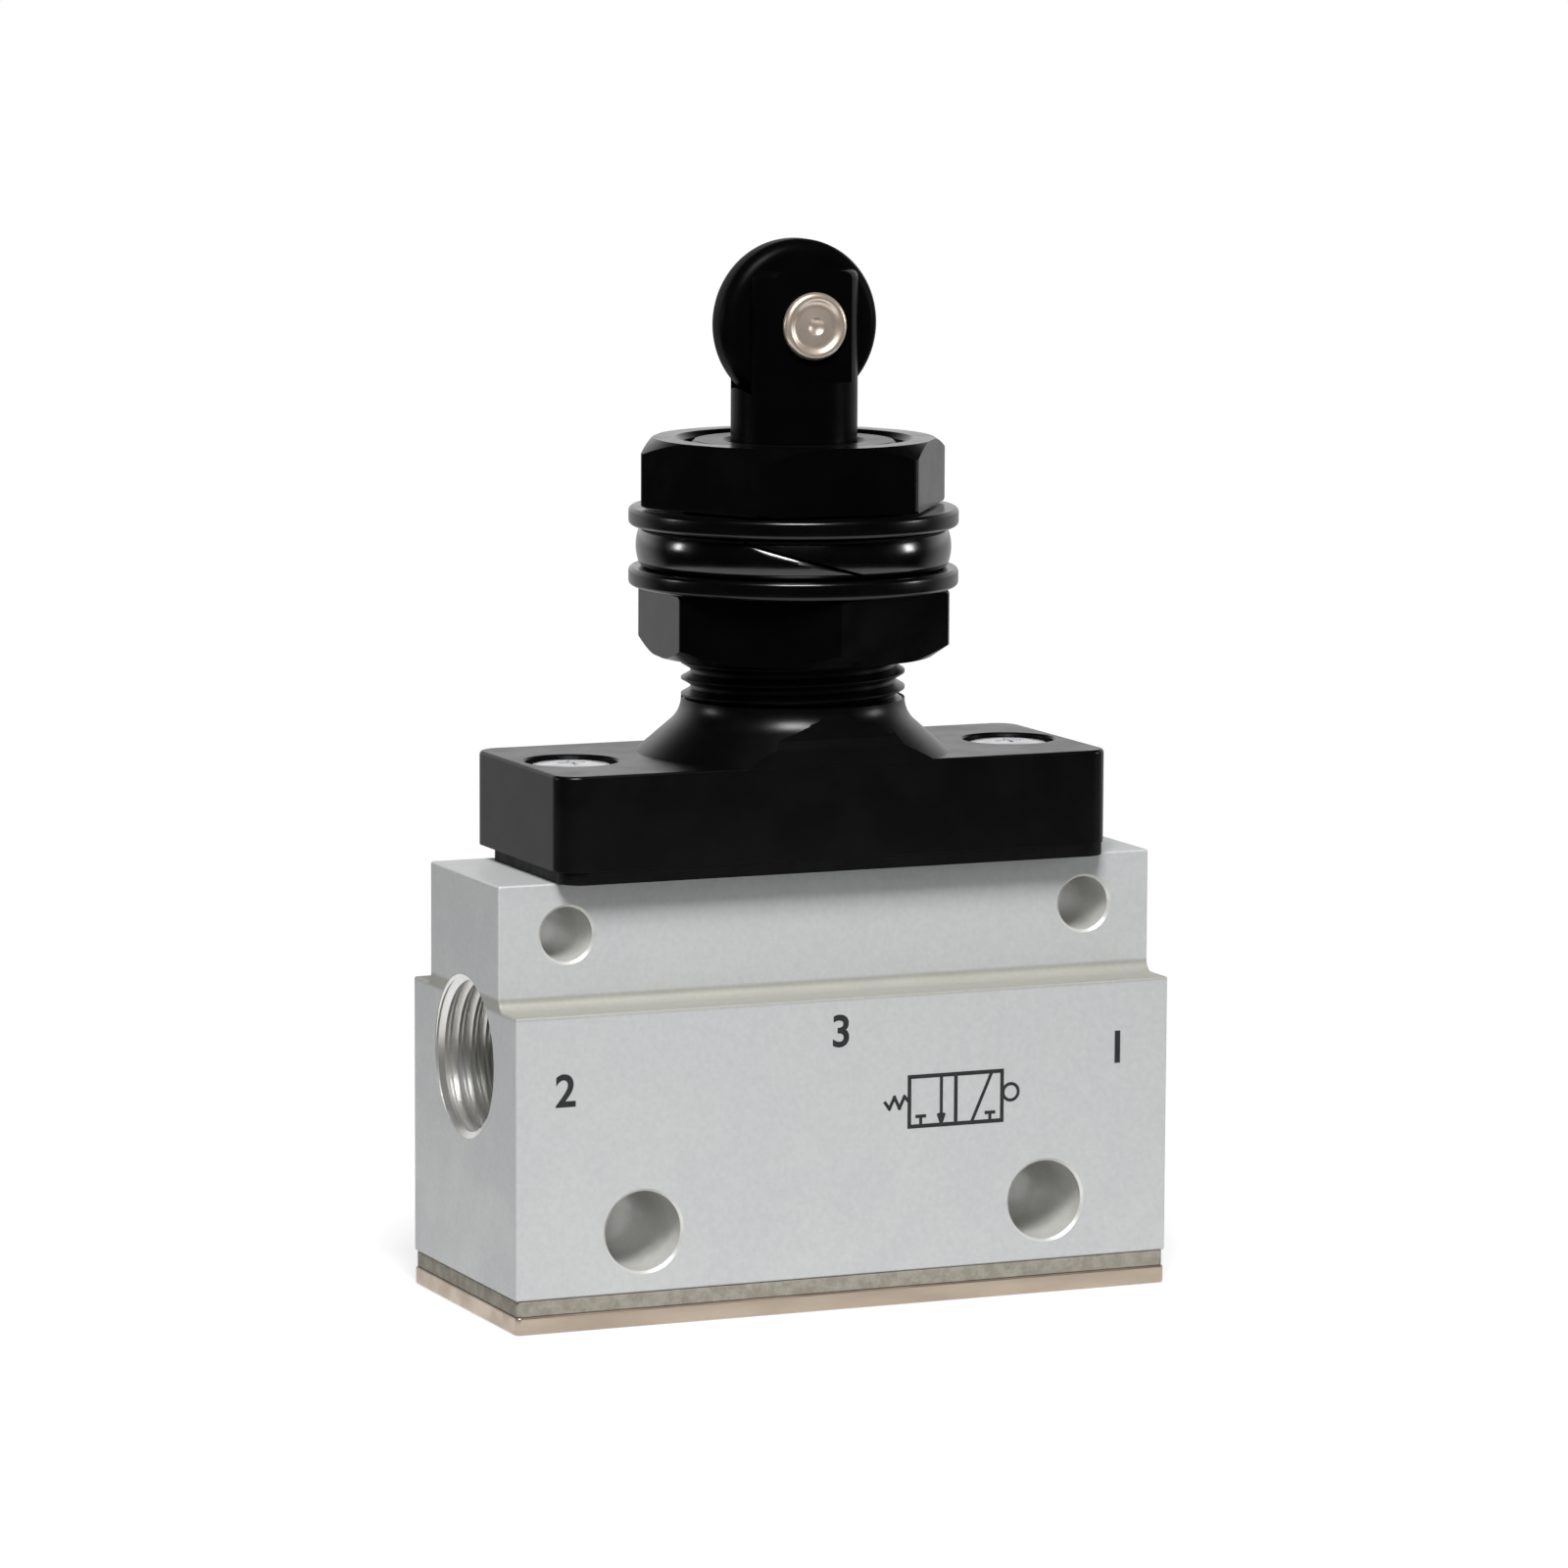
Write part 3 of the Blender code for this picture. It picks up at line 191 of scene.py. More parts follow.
SETTINGS = {
    "valve_body_sizes": ValveBodySizes,
    "valve_cap_sizes": CapSizes,
    "valve_hardware_sizes": HardwareSizes,
    "valve_plunger_sizes": PlungerSizes,
    "valve_finishes": ValveFinishes,
    "valve_stage": StageSettings,
}


def arc(centre, radius, start, end, steps):
    """Points of a circular arc in a profile, both ends included, angles in degrees."""
    points = []
    for index in range(steps + 1):
        angle = math.radians(start + (end - start) * index / steps)
        points.append((centre[0] + radius * math.cos(angle), centre[1] + radius * math.sin(angle)))
    return points


def turned(profile, steps, matrix=None, place=(0.0, 0.0, 0.0)):
    """Spins a profile of (radius, height) points into a closed solid about Z."""
    bm = bmesh.new()
    points = [bm.verts.new((radius, 0.0, height)) for radius, height in profile]
    edges = [bm.edges.new(pair) for pair in zip(points, points[1:])]
    if profile[0][0] > 0.0:
        edges.append(bm.edges.new((points[-1], points[0])))
    bmesh.ops.spin(
        bm, geom=points + edges, cent=(0.0, 0.0, 0.0), axis=(0.0, 0.0, 1.0),
        angle=2.0 * math.pi, steps=steps, use_merge=True, use_duplicate=False)
    bmesh.ops.remove_doubles(bm, verts=bm.verts, dist=1e-7)
    if matrix is not None:
        bmesh.ops.transform(bm, matrix=matrix, verts=bm.verts)
    bmesh.ops.translate(bm, vec=place, verts=bm.verts)
    bmesh.ops.recalc_face_normals(bm, faces=bm.faces)
    return bm


def swept_thread(section, pitch, turns, steps, base, start=0.0):
    """Winds a section of (radius, height) points up a helix, as a closed ridge."""
    bm = bmesh.new()
    face = bm.faces.new([bm.verts.new((radius, 0.0, height)) for radius, height in section])
    geom = [face] + list(face.edges) + list(face.verts)
    bmesh.ops.spin(
        bm, geom=geom, cent=(0.0, 0.0, 0.0), axis=(0.0, 0.0, 1.0), dvec=(0.0, 0.0, pitch / steps),
        angle=2.0 * math.pi * turns, steps=int(steps * turns), use_merge=False, use_duplicate=False)
    turn = Matrix.Translation((0.0, 0.0, base)) @ Matrix.Rotation(start, 4, "Z")
    bmesh.ops.transform(bm, matrix=turn, verts=bm.verts)
    bmesh.ops.recalc_face_normals(bm, faces=bm.faces)
    return bm


def thread_section(inner, outer, pitch, crest):
    """A thread's section that widens towards inner, with a flat of crest at outer."""
    foot = 0.46 * pitch
    return [(inner, -foot), (outer, -crest / 2), (outer, crest / 2), (inner, foot)]


def groove_section(inner, outer, pitch, crest):
    """The section of a tap that cuts a thread into a bore: wide at inner, narrow at outer."""
    return thread_section(inner, outer, pitch, crest)


def moved(bm, place):
    bmesh.ops.translate(bm, vec=place, verts=bm.verts)
    return bm


def drill(radius, depth, steps, matrix=None, place=(0.0, 0.0, 0.0)):
    """A plain round cutter that starts at its own origin."""
    return turned([(0.0, 0.0), (radius, 0.0), (radius, depth), (0.0, depth)], steps, matrix, place)


def block(low, high):
    """A box between two corners."""
    bm = bmesh.new()
    bmesh.ops.create_cube(bm, size=1.0)
    low = Vector(low)
    high = Vector(high)
    bmesh.ops.scale(bm, vec=high - low, verts=bm.verts)
    bmesh.ops.translate(bm, vec=(low + high) / 2, verts=bm.verts)
    return bm


def extruded(outline, depth, matrix, place):
    """Extrudes a closed outline along its own Z and puts it in place."""
    bm = bmesh.new()
    face = bm.faces.new([bm.verts.new((x, y, 0.0)) for x, y in outline])
    walls = bmesh.ops.extrude_face_region(bm, geom=[face])
    raised = [item for item in walls["geom"] if isinstance(item, bmesh.types.BMVert)]
    bmesh.ops.translate(bm, vec=(0.0, 0.0, depth), verts=raised)
    bmesh.ops.transform(bm, matrix=Matrix.Translation(place) @ matrix, verts=bm.verts)
    bmesh.ops.recalc_face_normals(bm, faces=bm.faces)
    return bm


def break_edges(bm, edges, width, segments):
    bmesh.ops.bevel(
        bm, geom=edges, offset=width, offset_type="OFFSET", segments=segments, profile=0.5,
        affect="EDGES", material=-1, clamp_overlap=True)


def rounded_block(low, high, corner, edge, foot_edge):
    """A box with round upright corners and broken top and bottom edges."""
    bm = block(low, high)
    upright = [e for e in bm.edges if abs(e.verts[0].co.z - e.verts[1].co.z) > 1e-6]
    break_edges(bm, upright, corner, 10)
    rims = [e for e in bm.edges if abs(e.verts[0].co.z - e.verts[1].co.z) < 1e-6
            and len(e.link_faces) == 2 and e.calc_face_angle() > 1.0]
    middle = (low[2] + high[2]) / 2
    break_edges(bm, [e for e in rims if e.verts[0].co.z > middle], edge, 3)
    feet = [e for e in bm.edges if all(abs(v.co.z - low[2]) < 1e-6 for v in e.verts)]
    break_edges(bm, feet, foot_edge, 2)
    return bm


def sharp_edges(bm, least):
    """Edges whose two faces meet at more than least degrees."""
    limit = math.radians(least)
    return [e for e in bm.edges if len(e.link_faces) == 2 and e.calc_face_angle() > limit]


def temporary(bm):
    mesh = bpy.data.meshes.new("workpiece")
    bm.to_mesh(mesh)
    bm.free()
    for _ in range(3):
        mesh.materials.append(None)
    obj = bpy.data.objects.new("workpiece", mesh)
    bpy.context.scene.collection.objects.link(obj)
    return obj


def shaped(bm, steps):
    """Runs exact Booleans in order: each step is an operation, a tool and a material index."""
    base = temporary(bm)
    tools = []
    for operation, tool_bm, index in steps:
        for face in tool_bm.faces:
            face.material_index = index
        tool = temporary(tool_bm)
        modifier = base.modifiers.new("shape", "BOOLEAN")
        modifier.operation = operation
        modifier.solver = "EXACT"
        modifier.object = tool
        modifier.material_mode = "INDEX"
        tools.append(tool)
    result = bmesh.new()
    result.from_object(base, bpy.context.evaluated_depsgraph_get())
    for obj in [base] + tools:
        mesh = obj.data
        bpy.data.objects.remove(obj)
        bpy.data.meshes.remove(mesh)
    if len(result.faces) == 0:
        raise RuntimeError("a Boolean left nothing")
    bmesh.ops.remove_doubles(result, verts=result.verts, dist=2e-7)
    return result


def add_piece(name, bm, body, nodes, finishes, smooth=32.0):
    """Makes a finished piece that rides on a body and stands for its CAD nodes."""
    mesh = bpy.data.meshes.new(name)
    bm.to_mesh(mesh)
    bm.free()
    obj = bpy.data.objects.new(name, mesh)
    bpy.context.scene.collection.objects.link(obj)
    for finish in finishes:
        mesh.materials.append(get_finish(finish))
    mesh.shade_smooth()
    mesh.set_sharp_from_angle(angle=math.radians(smooth))
    shading = obj.modifiers.new("even_shading", "WEIGHTED_NORMAL")
    shading.keep_sharp = True
    shading.weight = 100
    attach(obj, body)
    if nodes:
        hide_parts(*nodes)
    return obj


def new_group(name, inputs, outputs):
    """A shader node group with named sockets; returns it with its two end nodes."""
    group = bpy.data.node_groups.new(name, "ShaderNodeTree")
    for socket, kind, value in inputs:
        item = group.interface.new_socket(name=socket, in_out="INPUT", socket_type=kind)
        if value is not None:
            item.default_value = value
    for socket, kind in outputs:
        group.interface.new_socket(name=socket, in_out="OUTPUT", socket_type=kind)
    return group, group.nodes.new("NodeGroupInput"), group.nodes.new("NodeGroupOutput")


def add_math(tree, operation, first, second=None, clamp=False):
    node = tree.nodes.new("ShaderNodeMath")
    node.operation = operation
    node.use_clamp = clamp
    for slot, value in zip(node.inputs, (first, second)):
        if isinstance(value, (int, float)):
            slot.default_value = value
        elif value is not None:
            tree.links.new(value, slot)
    return node.outputs[0]


def add_range(tree, value, low, high, to_low, to_high, smooth=False):
    node = tree.nodes.new("ShaderNodeMapRange")
    node.interpolation_type = "SMOOTHSTEP" if smooth else "LINEAR"
    for socket, number in (("From Min", low), ("From Max", high), ("To Min", to_low), ("To Max", to_high)):
        node.inputs[socket].default_value = number
    tree.links.new(value, node.inputs["Value"])
    return node.outputs["Result"]


def add_mix(tree, factor, first, second, blend="MIX"):
    """Mixes two colours; each is a socket or plain numbers."""
    node = tree.nodes.new("ShaderNodeMix")
    node.data_type = "RGBA"
    node.blend_type = blend
    colours = [s for s in node.inputs if s.type == "RGBA"]
    for slot, value in zip(colours, (first, second)):
        if isinstance(value, bpy.types.NodeSocket):
            tree.links.new(value, slot)
        else:
            slot.default_value = (*value, 1.0)
    if isinstance(factor, bpy.types.NodeSocket):
        tree.links.new(factor, node.inputs[0])
    else:
        node.inputs[0].default_value = factor
    return next(s for s in node.outputs if s.type == "RGBA")


def add_noise(tree, vector, scale, detail, roughness=0.55):
    node = tree.nodes.new("ShaderNodeTexNoise")
    node.inputs["Detail"].default_value = detail
    node.inputs["Roughness"].default_value = roughness
    tree.links.new(vector, node.inputs["Vector"])
    tree.links.new(scale, node.inputs["Scale"])
    return node.outputs["Fac"]


def fine_grain_group():
    """Blasted or moulded grain: a mask round its middle and a height."""
    group, start, end = new_group(
        "Fine grain",
        [("Vector", "NodeSocketVector", None), ("Grain Size", "NodeSocketFloat", 0.00025)],
        [("Mask", "NodeSocketFloat"), ("Height", "NodeSocketFloat")])
    scale = add_math(group, "DIVIDE", 1.0, start.outputs["Grain Size"])
    noise = add_noise(group, start.outputs["Vector"], scale, 3.0)
    cells = group.nodes.new("ShaderNodeTexVoronoi")
    cells.feature = "F1"
    group.links.new(start.outputs["Vector"], cells.inputs["Vector"])
    group.links.new(scale, cells.inputs["Scale"])
    pits = add_range(group, cells.outputs["Distance"], 0.0, 0.9, 0.0, 1.0)
    height = add_math(group, "ADD", add_math(group, "MULTIPLY", noise, 0.6), add_math(group, "MULTIPLY", pits, 0.4))
    group.links.new(height, end.inputs["Height"])
    group.links.new(add_range(group, noise, 0.32, 0.68, 0.0, 1.0), end.inputs["Mask"])
    return group


def clouds_group():
    """Slow changes of tone over a surface, as handling and plating leave them."""
    group, start, end = new_group(
        "Clouded tone",
        [("Vector", "NodeSocketVector", None), ("Cloud Size", "NodeSocketFloat", 0.004)],
        [("Mask", "NodeSocketFloat")])
    scale = add_math(group, "DIVIDE", 1.0, start.outputs["Cloud Size"])
    noise = add_noise(group, start.outputs["Vector"], scale, 4.0, 0.6)
    group.links.new(add_range(group, noise, 0.35, 0.65, 0.0, 1.0, smooth=True), end.inputs["Mask"])
    return group


def turning_group():
    """Fine rings left by a lathe round the Z axis."""
    group, start, end = new_group(
        "Turning lines",
        [("Vector", "NodeSocketVector", None), ("Line Spacing", "NodeSocketFloat", 0.00008)],
        [("Height", "NodeSocketFloat")])
    split = group.nodes.new("ShaderNodeSeparateXYZ")
    group.links.new(start.outputs["Vector"], split.inputs[0])
    across = add_math(group, "ADD", add_math(group, "POWER", split.outputs["X"], 2.0),
                      add_math(group, "POWER", split.outputs["Y"], 2.0))
    reach = add_math(group, "ADD", add_math(group, "SQRT", across), split.outputs["Z"])
    lines = group.nodes.new("ShaderNodeTexNoise")
    lines.noise_dimensions = "1D"
    lines.inputs["Detail"].default_value = 2.0
    lines.inputs["Scale"].default_value = 1.0
    group.links.new(add_math(group, "DIVIDE", reach, start.outputs["Line Spacing"]), lines.inputs["W"])
    group.links.new(lines.outputs["Fac"], end.inputs["Height"])
    return group


def get_group(name):
    makers = {"Fine grain": fine_grain_group, "Clouded tone": clouds_group, "Turning lines": turning_group}
    group = bpy.data.node_groups.get(name)
    return group if group is not None else makers[name]()


def add_group(tree, name, vector, values):
    node = tree.nodes.new("ShaderNodeGroup")
    node.node_tree = get_group(name)
    tree.links.new(vector, node.inputs["Vector"])
    for socket, value in values.items():
        node.inputs[socket].default_value = value
    return node


def add_bump(tree, height, depth, under=None):
    node = tree.nodes.new("ShaderNodeBump")
    node.inputs["Strength"].default_value = 1.0
    node.inputs["Distance"].default_value = depth
    tree.links.new(height, node.inputs["Height"])
    if under is not None:
        tree.links.new(under, node.inputs["Normal"])
    return node.outputs["Normal"]


# Each finish: colour, the tone it drifts to, share of that tone, metallic, roughness and its spread,
# refraction, grain size, grain depth, grain contrast, cloud size, line spacing and line depth.
FINISHES = {
    # The silver body also carries the painted warm reflection on its ledge.
    "silver_anodised": dict(
        colour="body", drift=(0.93, 0.94, 0.96), share=0.6, metallic=0.30, roughness=0.52, spread=0.05,
        ior=1.45, grain=0.00030, grain_depth=0.0000035, contrast=0.07, cloud=0.0050, painted_ledge_reflection=True),
    "tapped_aluminium": dict(
        colour="machined", drift=(0.88, 0.86, 0.83), share=0.6, metallic=0.86, roughness=0.32, spread=0.02,
        ior=1.45, grain=0.00030, grain_depth=0.0000002, contrast=0.05, cloud=0.0025),
    "machined_aluminium": dict(
        colour="machined", drift=(0.88, 0.87, 0.84), share=0.6, metallic=0.45, roughness=0.38, spread=0.05,
        ior=1.45, grain=0.00024, grain_depth=0.0000008, contrast=0.06, cloud=0.0025),
    "black_anodised": dict(
        colour="black", drift=(1.3, 1.25, 1.3), share=0.4, metallic=0.0, roughness=0.305, spread=0.02,
        ior=1.34, grain=0.00018, grain_depth=0.0000016, contrast=0.20, cloud=0.0030),
    "black_turned": dict(
        colour="black", drift=(1.3, 1.25, 1.3), share=0.4, metallic=0.0, roughness=0.22, spread=0.02,
        ior=1.25, grain=0.00015, grain_depth=0.0000012, contrast=0.20, cloud=0.0025,
        lines=0.00009, line_depth=0.0000012),
    "black_oxide": dict(
        colour="oxide", drift=(1.5, 1.3, 1.2), share=0.4, metallic=0.0, roughness=0.24, spread=0.02,
        ior=1.42, grain=0.00016, grain_depth=0.0000016, contrast=0.30, cloud=0.0020,
        lines=0.00011, line_depth=0.0000010),
    "spring_oxide": dict(
        colour="oxide", drift=(1.5, 1.3, 1.2), share=0.4, metallic=0.0, roughness=0.17, spread=0.02,
        ior=1.68, grain=0.00016, grain_depth=0.0000010, contrast=0.30, cloud=0.0020),
    "black_nylon": dict(
        colour="nylon", drift=(1.3, 1.3, 1.3), share=0.4, metallic=0.0, roughness=0.37, spread=0.03,
        ior=1.11, grain=0.00022, grain_depth=0.0000022, contrast=0.20, cloud=0.0022),
    "black_plunger": dict(
        colour="nylon", drift=(1.3, 1.3, 1.3), share=0.4, metallic=0.0, roughness=0.30, spread=0.03,
        ior=1.12, grain=0.00020, grain_depth=0.0000018, contrast=0.20, cloud=0.0022),
    "plated_steel": dict(
        colour="plate", drift=(0.86, 0.84, 0.82), share=0.8, metallic=0.85, roughness=0.36, spread=0.08,
        ior=1.45, grain=0.00025, grain_depth=0.0000020, contrast=0.08, cloud=0.0020, stretch=(0.25, 1.0, 1.0)),
    "pin_steel": dict(
        colour="pin", drift=(0.85, 0.84, 0.82), share=0.7, metallic=0.80, roughness=0.36, spread=0.03,
        ior=1.45, grain=0.00016, grain_depth=0.0000015, contrast=0.08, cloud=0.0010),
    "zinc_steel": dict(
        colour="zinc", drift=(0.82, 0.84, 0.88), share=0.8, metallic=0.80, roughness=0.27, spread=0.03,
        ior=1.45, grain=0.00016, grain_depth=0.0000012, contrast=0.08, cloud=0.0010),
    # Painted shade: the gasket's olive colour copies a darker band along the top of the bottom plate.
    "gasket_painted_shade": dict(
        colour="gasket", drift=(0.75, 0.74, 0.70), share=0.9, metallic=0.0, roughness=0.70, spread=0.05,
        ior=1.40, grain=0.00022, grain_depth=0.0000040, contrast=0.14, cloud=0.0008),
    "turned_brass": dict(
        colour="brass", drift=(0.85, 0.80, 0.70), share=0.7, metallic=1.0, roughness=0.26, spread=0.06,
        ior=1.45, grain=0.00016, grain_depth=0.0000012, contrast=0.06, cloud=0.0020,
        lines=0.00009, line_depth=0.0000014),
    "spring_wire": dict(
        colour="zinc", drift=(0.80, 0.78, 0.76), share=0.7, metallic=1.0, roughness=0.22, spread=0.05,
        ior=1.45, grain=0.00010, grain_depth=0.0000010, contrast=0.08, cloud=0.0008),
    "black_rubber": dict(
        colour="nylon", drift=(1.6, 1.6, 1.6), share=0.8, metallic=0.0, roughness=0.50, spread=0.05,
        ior=1.22, grain=0.00015, grain_depth=0.0000050, contrast=0.30, cloud=0.0010),
    "printed_ink": dict(
        colour="ink", drift=(2.0, 2.0, 2.1), share=0.8, metallic=0.0, roughness=0.55, spread=0.05,
        ior=1.45, grain=0.00012, grain_depth=0.0000020, contrast=0.40, cloud=0.0005),
}

# Heights between which the ledge gets its painted warm reflection.
LEDGE_REFLECTION_LOW = 19.45 * MM
LEDGE_REFLECTION_HIGH = 20.30 * MM
LEDGE_REFLECTION_FADE = 0.15 * MM


def add_painted_ledge_reflection(tree, point, base):
    """Painted warm reflection on the body's ledge, where it looks up past the cap: a band of colour set by height."""
    split = tree.nodes.new("ShaderNodeSeparateXYZ")
    tree.links.new(point, split.inputs[0])
    rising = add_range(tree, split.outputs["Z"], LEDGE_REFLECTION_LOW - LEDGE_REFLECTION_FADE, LEDGE_REFLECTION_LOW + LEDGE_REFLECTION_FADE, 0.0, 1.0, True)
    falling = add_range(tree, split.outputs["Z"], LEDGE_REFLECTION_HIGH - LEDGE_REFLECTION_FADE, LEDGE_REFLECTION_HIGH + LEDGE_REFLECTION_FADE, 1.0, 0.0, True)
    mask = add_math(tree, "MULTIPLY", rising, falling)
    warm = bpy.context.scene.valve_finishes.ledge_painted_reflection
    return add_mix(tree, add_math(tree, "MULTIPLY", mask, 0.8), base, tuple(warm))


def get_finish(name):
    """The named material, built when it is first asked for."""
    title = name + "_finish"
    material = bpy.data.materials.get(title)
    if material is not None:
        return material
    values = FINISHES[name]
    base = Vector(getattr(bpy.context.scene.valve_finishes, values["colour"]))
    drifted = [min(channel * factor, 1.0) for channel, factor in zip(base, values["drift"])]
    material = bpy.data.materials.new(title)
    material.use_nodes = True
    tree = material.node_tree
    shader = tree.nodes["Principled BSDF"]
    coordinates = tree.nodes.new("ShaderNodeTexCoord")
    mapping = tree.nodes.new("ShaderNodeMapping")
    mapping.inputs["Scale"].default_value = values.get("stretch", (1.0, 1.0, 1.0))
    tree.links.new(coordinates.outputs["Object"], mapping.inputs["Vector"])
    point = mapping.outputs["Vector"]
    grain = add_group(tree, "Fine grain", point, {"Grain Size": values["grain"]})
    clouds = add_group(tree, "Clouded tone", point, {"Cloud Size": values["cloud"]})
    tone = add_math(tree, "MULTIPLY", clouds.outputs["Mask"], values["share"])
    surface = add_mix(tree, tone, tuple(base), tuple(drifted))
    # Painted warm reflection on the ledge, mixed into the colour by height.
    if values.get("painted_ledge_reflection"):
        surface = add_painted_ledge_reflection(tree, coordinates.outputs["Object"], surface)
    contrast = values["contrast"]
    shade = add_range(tree, grain.outputs["Mask"], 0.0, 1.0, 1.0 - contrast, 1.0)
    grey = tree.nodes.new("ShaderNodeCombineColor")
    for channel in grey.inputs:
        tree.links.new(shade, channel)
    surface = add_mix(tree, 1.0, surface, grey.outputs[0], "MULTIPLY")
    tree.links.new(surface, shader.inputs["Base Color"])
    spread = values["spread"]
    gloss = add_range(tree, clouds.outputs["Mask"], 0.0, 1.0,
                      values["roughness"] - spread, values["roughness"] + spread)
    tree.links.new(gloss, shader.inputs["Roughness"])
    shader.inputs["Metallic"].default_value = values["metallic"]
    shader.inputs["IOR"].default_value = values["ior"]
    normal = None
    if "lines" in values:
        lines = add_group(tree, "Turning lines", point, {"Line Spacing": values["lines"]})
        normal = add_bump(tree, lines.outputs["Height"], values["line_depth"])
    normal = add_bump(tree, grain.outputs["Height"], values["grain_depth"], normal)
    tree.links.new(normal, shader.inputs["Normal"])
    material.diffuse_color = (*base, 1.0)
    return material


CAMERA_YAW = math.radians(23.337)
CAMERA_PITCH = math.radians(7.671)
CAMERA_ROLL = math.radians(0.265)
CAMERA_PLACE = Vector((-0.18049, -0.41704, 0.09300))
CAMERA_LENS = 168.0
CAMERA_SENSOR = 36.0
LAMP_TARGET = Vector((0.0, 0.0, 0.03))
LAMP_DISTANCE = 0.5


def camera_axes():
    """The camera's right, up and forward directions."""
    flat = math.cos(CAMERA_PITCH)
    forward = Vector((math.sin(CAMERA_YAW) * flat, math.cos(CAMERA_YAW) * flat, -math.sin(CAMERA_PITCH)))
    right = Vector((math.cos(CAMERA_YAW), -math.sin(CAMERA_YAW), 0.0))
    up = right.cross(forward)
    rolled_right = right * math.cos(CAMERA_ROLL) + up * math.sin(CAMERA_ROLL)
    rolled_up = up * math.cos(CAMERA_ROLL) - right * math.sin(CAMERA_ROLL)
    return rolled_right, rolled_up, forward


def add_lamp(name, azimuth, elevation, width, height, power):
    """A soft area lamp that looks at the valve; azimuth 0 is in front and grows towards +X."""
    lamp = bpy.data.lights.new(name, "AREA")
    lamp.shape = "RECTANGLE"
    lamp.size = width
    lamp.size_y = height
    lamp.energy = power
    obj = bpy.data.objects.new(name, lamp)
    bpy.context.scene.collection.objects.link(obj)
    around = math.radians(azimuth)
    rise = math.radians(elevation)
    back = Vector((math.sin(around) * math.cos(rise), -math.cos(around) * math.cos(rise), math.sin(rise)))
    obj.location = LAMP_TARGET + back * LAMP_DISTANCE
    obj.rotation_euler = (-back).to_track_quat("-Z", "Y").to_euler()


def add_world(settings, forward):
    """Plain light all round; the backdrop shows white, the room behind the camera dark in reflections."""
    world = bpy.data.worlds.new("plain_light")
    bpy.context.scene.world = world
    world.use_nodes = True
    tree = world.node_tree
    background = tree.nodes["Background"]
    background.inputs["Color"].default_value = (1.0, 1.0, 1.0, 1.0)
    coordinates = tree.nodes.new("ShaderNodeTexCoord")
    facing = tree.nodes.new("ShaderNodeVectorMath")
    facing.operation = "DOT_PRODUCT"
    facing.inputs[1].default_value = forward
    tree.links.new(coordinates.outputs["Generated"], facing.inputs[0])
    mirrored = add_range(tree, facing.outputs["Value"], 0.28, 0.78, 0.008, 1.0, smooth=True)
    split = tree.nodes.new("ShaderNodeSeparateXYZ")
    tree.links.new(coordinates.outputs["Generated"], split.inputs[0])
    overhead = add_range(tree, split.outputs["Z"], 0.25, 0.60, 1.0, 0.02, smooth=True)
    below = add_range(tree, split.outputs["Z"], -0.06, 0.06, 0.58, 1.0, smooth=True)
    mirrored = add_math(tree, "MULTIPLY", mirrored, add_math(tree, "MULTIPLY", overhead, below))
    path = tree.nodes.new("ShaderNodeLightPath")
    seen = add_math(tree, "ADD", path.outputs["Is Camera Ray"], path.outputs["Is Transmission Ray"], clamp=True)
    level = tree.nodes.new("ShaderNodeMix")
    tree.links.new(path.outputs["Is Glossy Ray"], level.inputs[0])
    level.inputs[2].default_value = settings.ambient
    tree.links.new(mirrored, level.inputs[3])
    shown = tree.nodes.new("ShaderNodeMix")
    tree.links.new(seen, shown.inputs[0])
    tree.links.new(level.outputs[0], shown.inputs[2])
    shown.inputs[3].default_value = 1.0
    tree.links.new(shown.outputs[0], background.inputs["Strength"])


def floor_material(settings):
    """A pale floor that shows white, takes the valve's shadow and fades out at its rim."""
    material = bpy.data.materials.new("pale_floor")
    material.use_nodes = True
    tree = material.node_tree
    tree.nodes.remove(tree.nodes["Principled BSDF"])
    output = tree.nodes["Material Output"]
    coordinates = tree.nodes.new("ShaderNodeTexCoord")
    reach = tree.nodes.new("ShaderNodeVectorMath")
    reach.operation = "LENGTH"
    tree.links.new(coordinates.outputs["Object"], reach.inputs[0])
    fade = add_range(tree, reach.outputs["Value"], settings.floor_radius * 0.45, settings.floor_radius * 0.95,
                     0.0, 1.0, smooth=True)
    plain = tree.nodes.new("ShaderNodeBsdfDiffuse")
    plain.inputs["Color"].default_value = (*settings.floor_colour, 1.0)
    shaded = tree.nodes.new("ShaderNodeBsdfDiffuse")
    shaded.inputs["Color"].default_value = (0.45, 0.45, 0.45, 1.0)
    glow = tree.nodes.new("ShaderNodeEmission")
    glow.inputs["Strength"].default_value = 0.60
    near = tree.nodes.new("ShaderNodeAddShader")
    tree.links.new(shaded.outputs[0], near.inputs[0])
    tree.links.new(glow.outputs[0], near.inputs[1])
    rim = tree.nodes.new("ShaderNodeEmission")
    faded = tree.nodes.new("ShaderNodeMixShader")
    tree.links.new(fade, faded.inputs[0])
    tree.links.new(near.outputs[0], faded.inputs[1])
    tree.links.new(rim.outputs[0], faded.inputs[2])
    path = tree.nodes.new("ShaderNodeLightPath")
    seen = add_math(tree, "ADD", path.outputs["Is Camera Ray"], path.outputs["Is Glossy Ray"])
    seen = add_math(tree, "ADD", seen, path.outputs["Is Transmission Ray"], clamp=True)
    whole = tree.nodes.new("ShaderNodeMixShader")
    tree.links.new(seen, whole.inputs[0])
    tree.links.new(plain.outputs[0], whole.inputs[1])
    tree.links.new(faded.outputs[0], whole.inputs[2])
    tree.links.new(whole.outputs[0], output.inputs["Surface"])
    return material


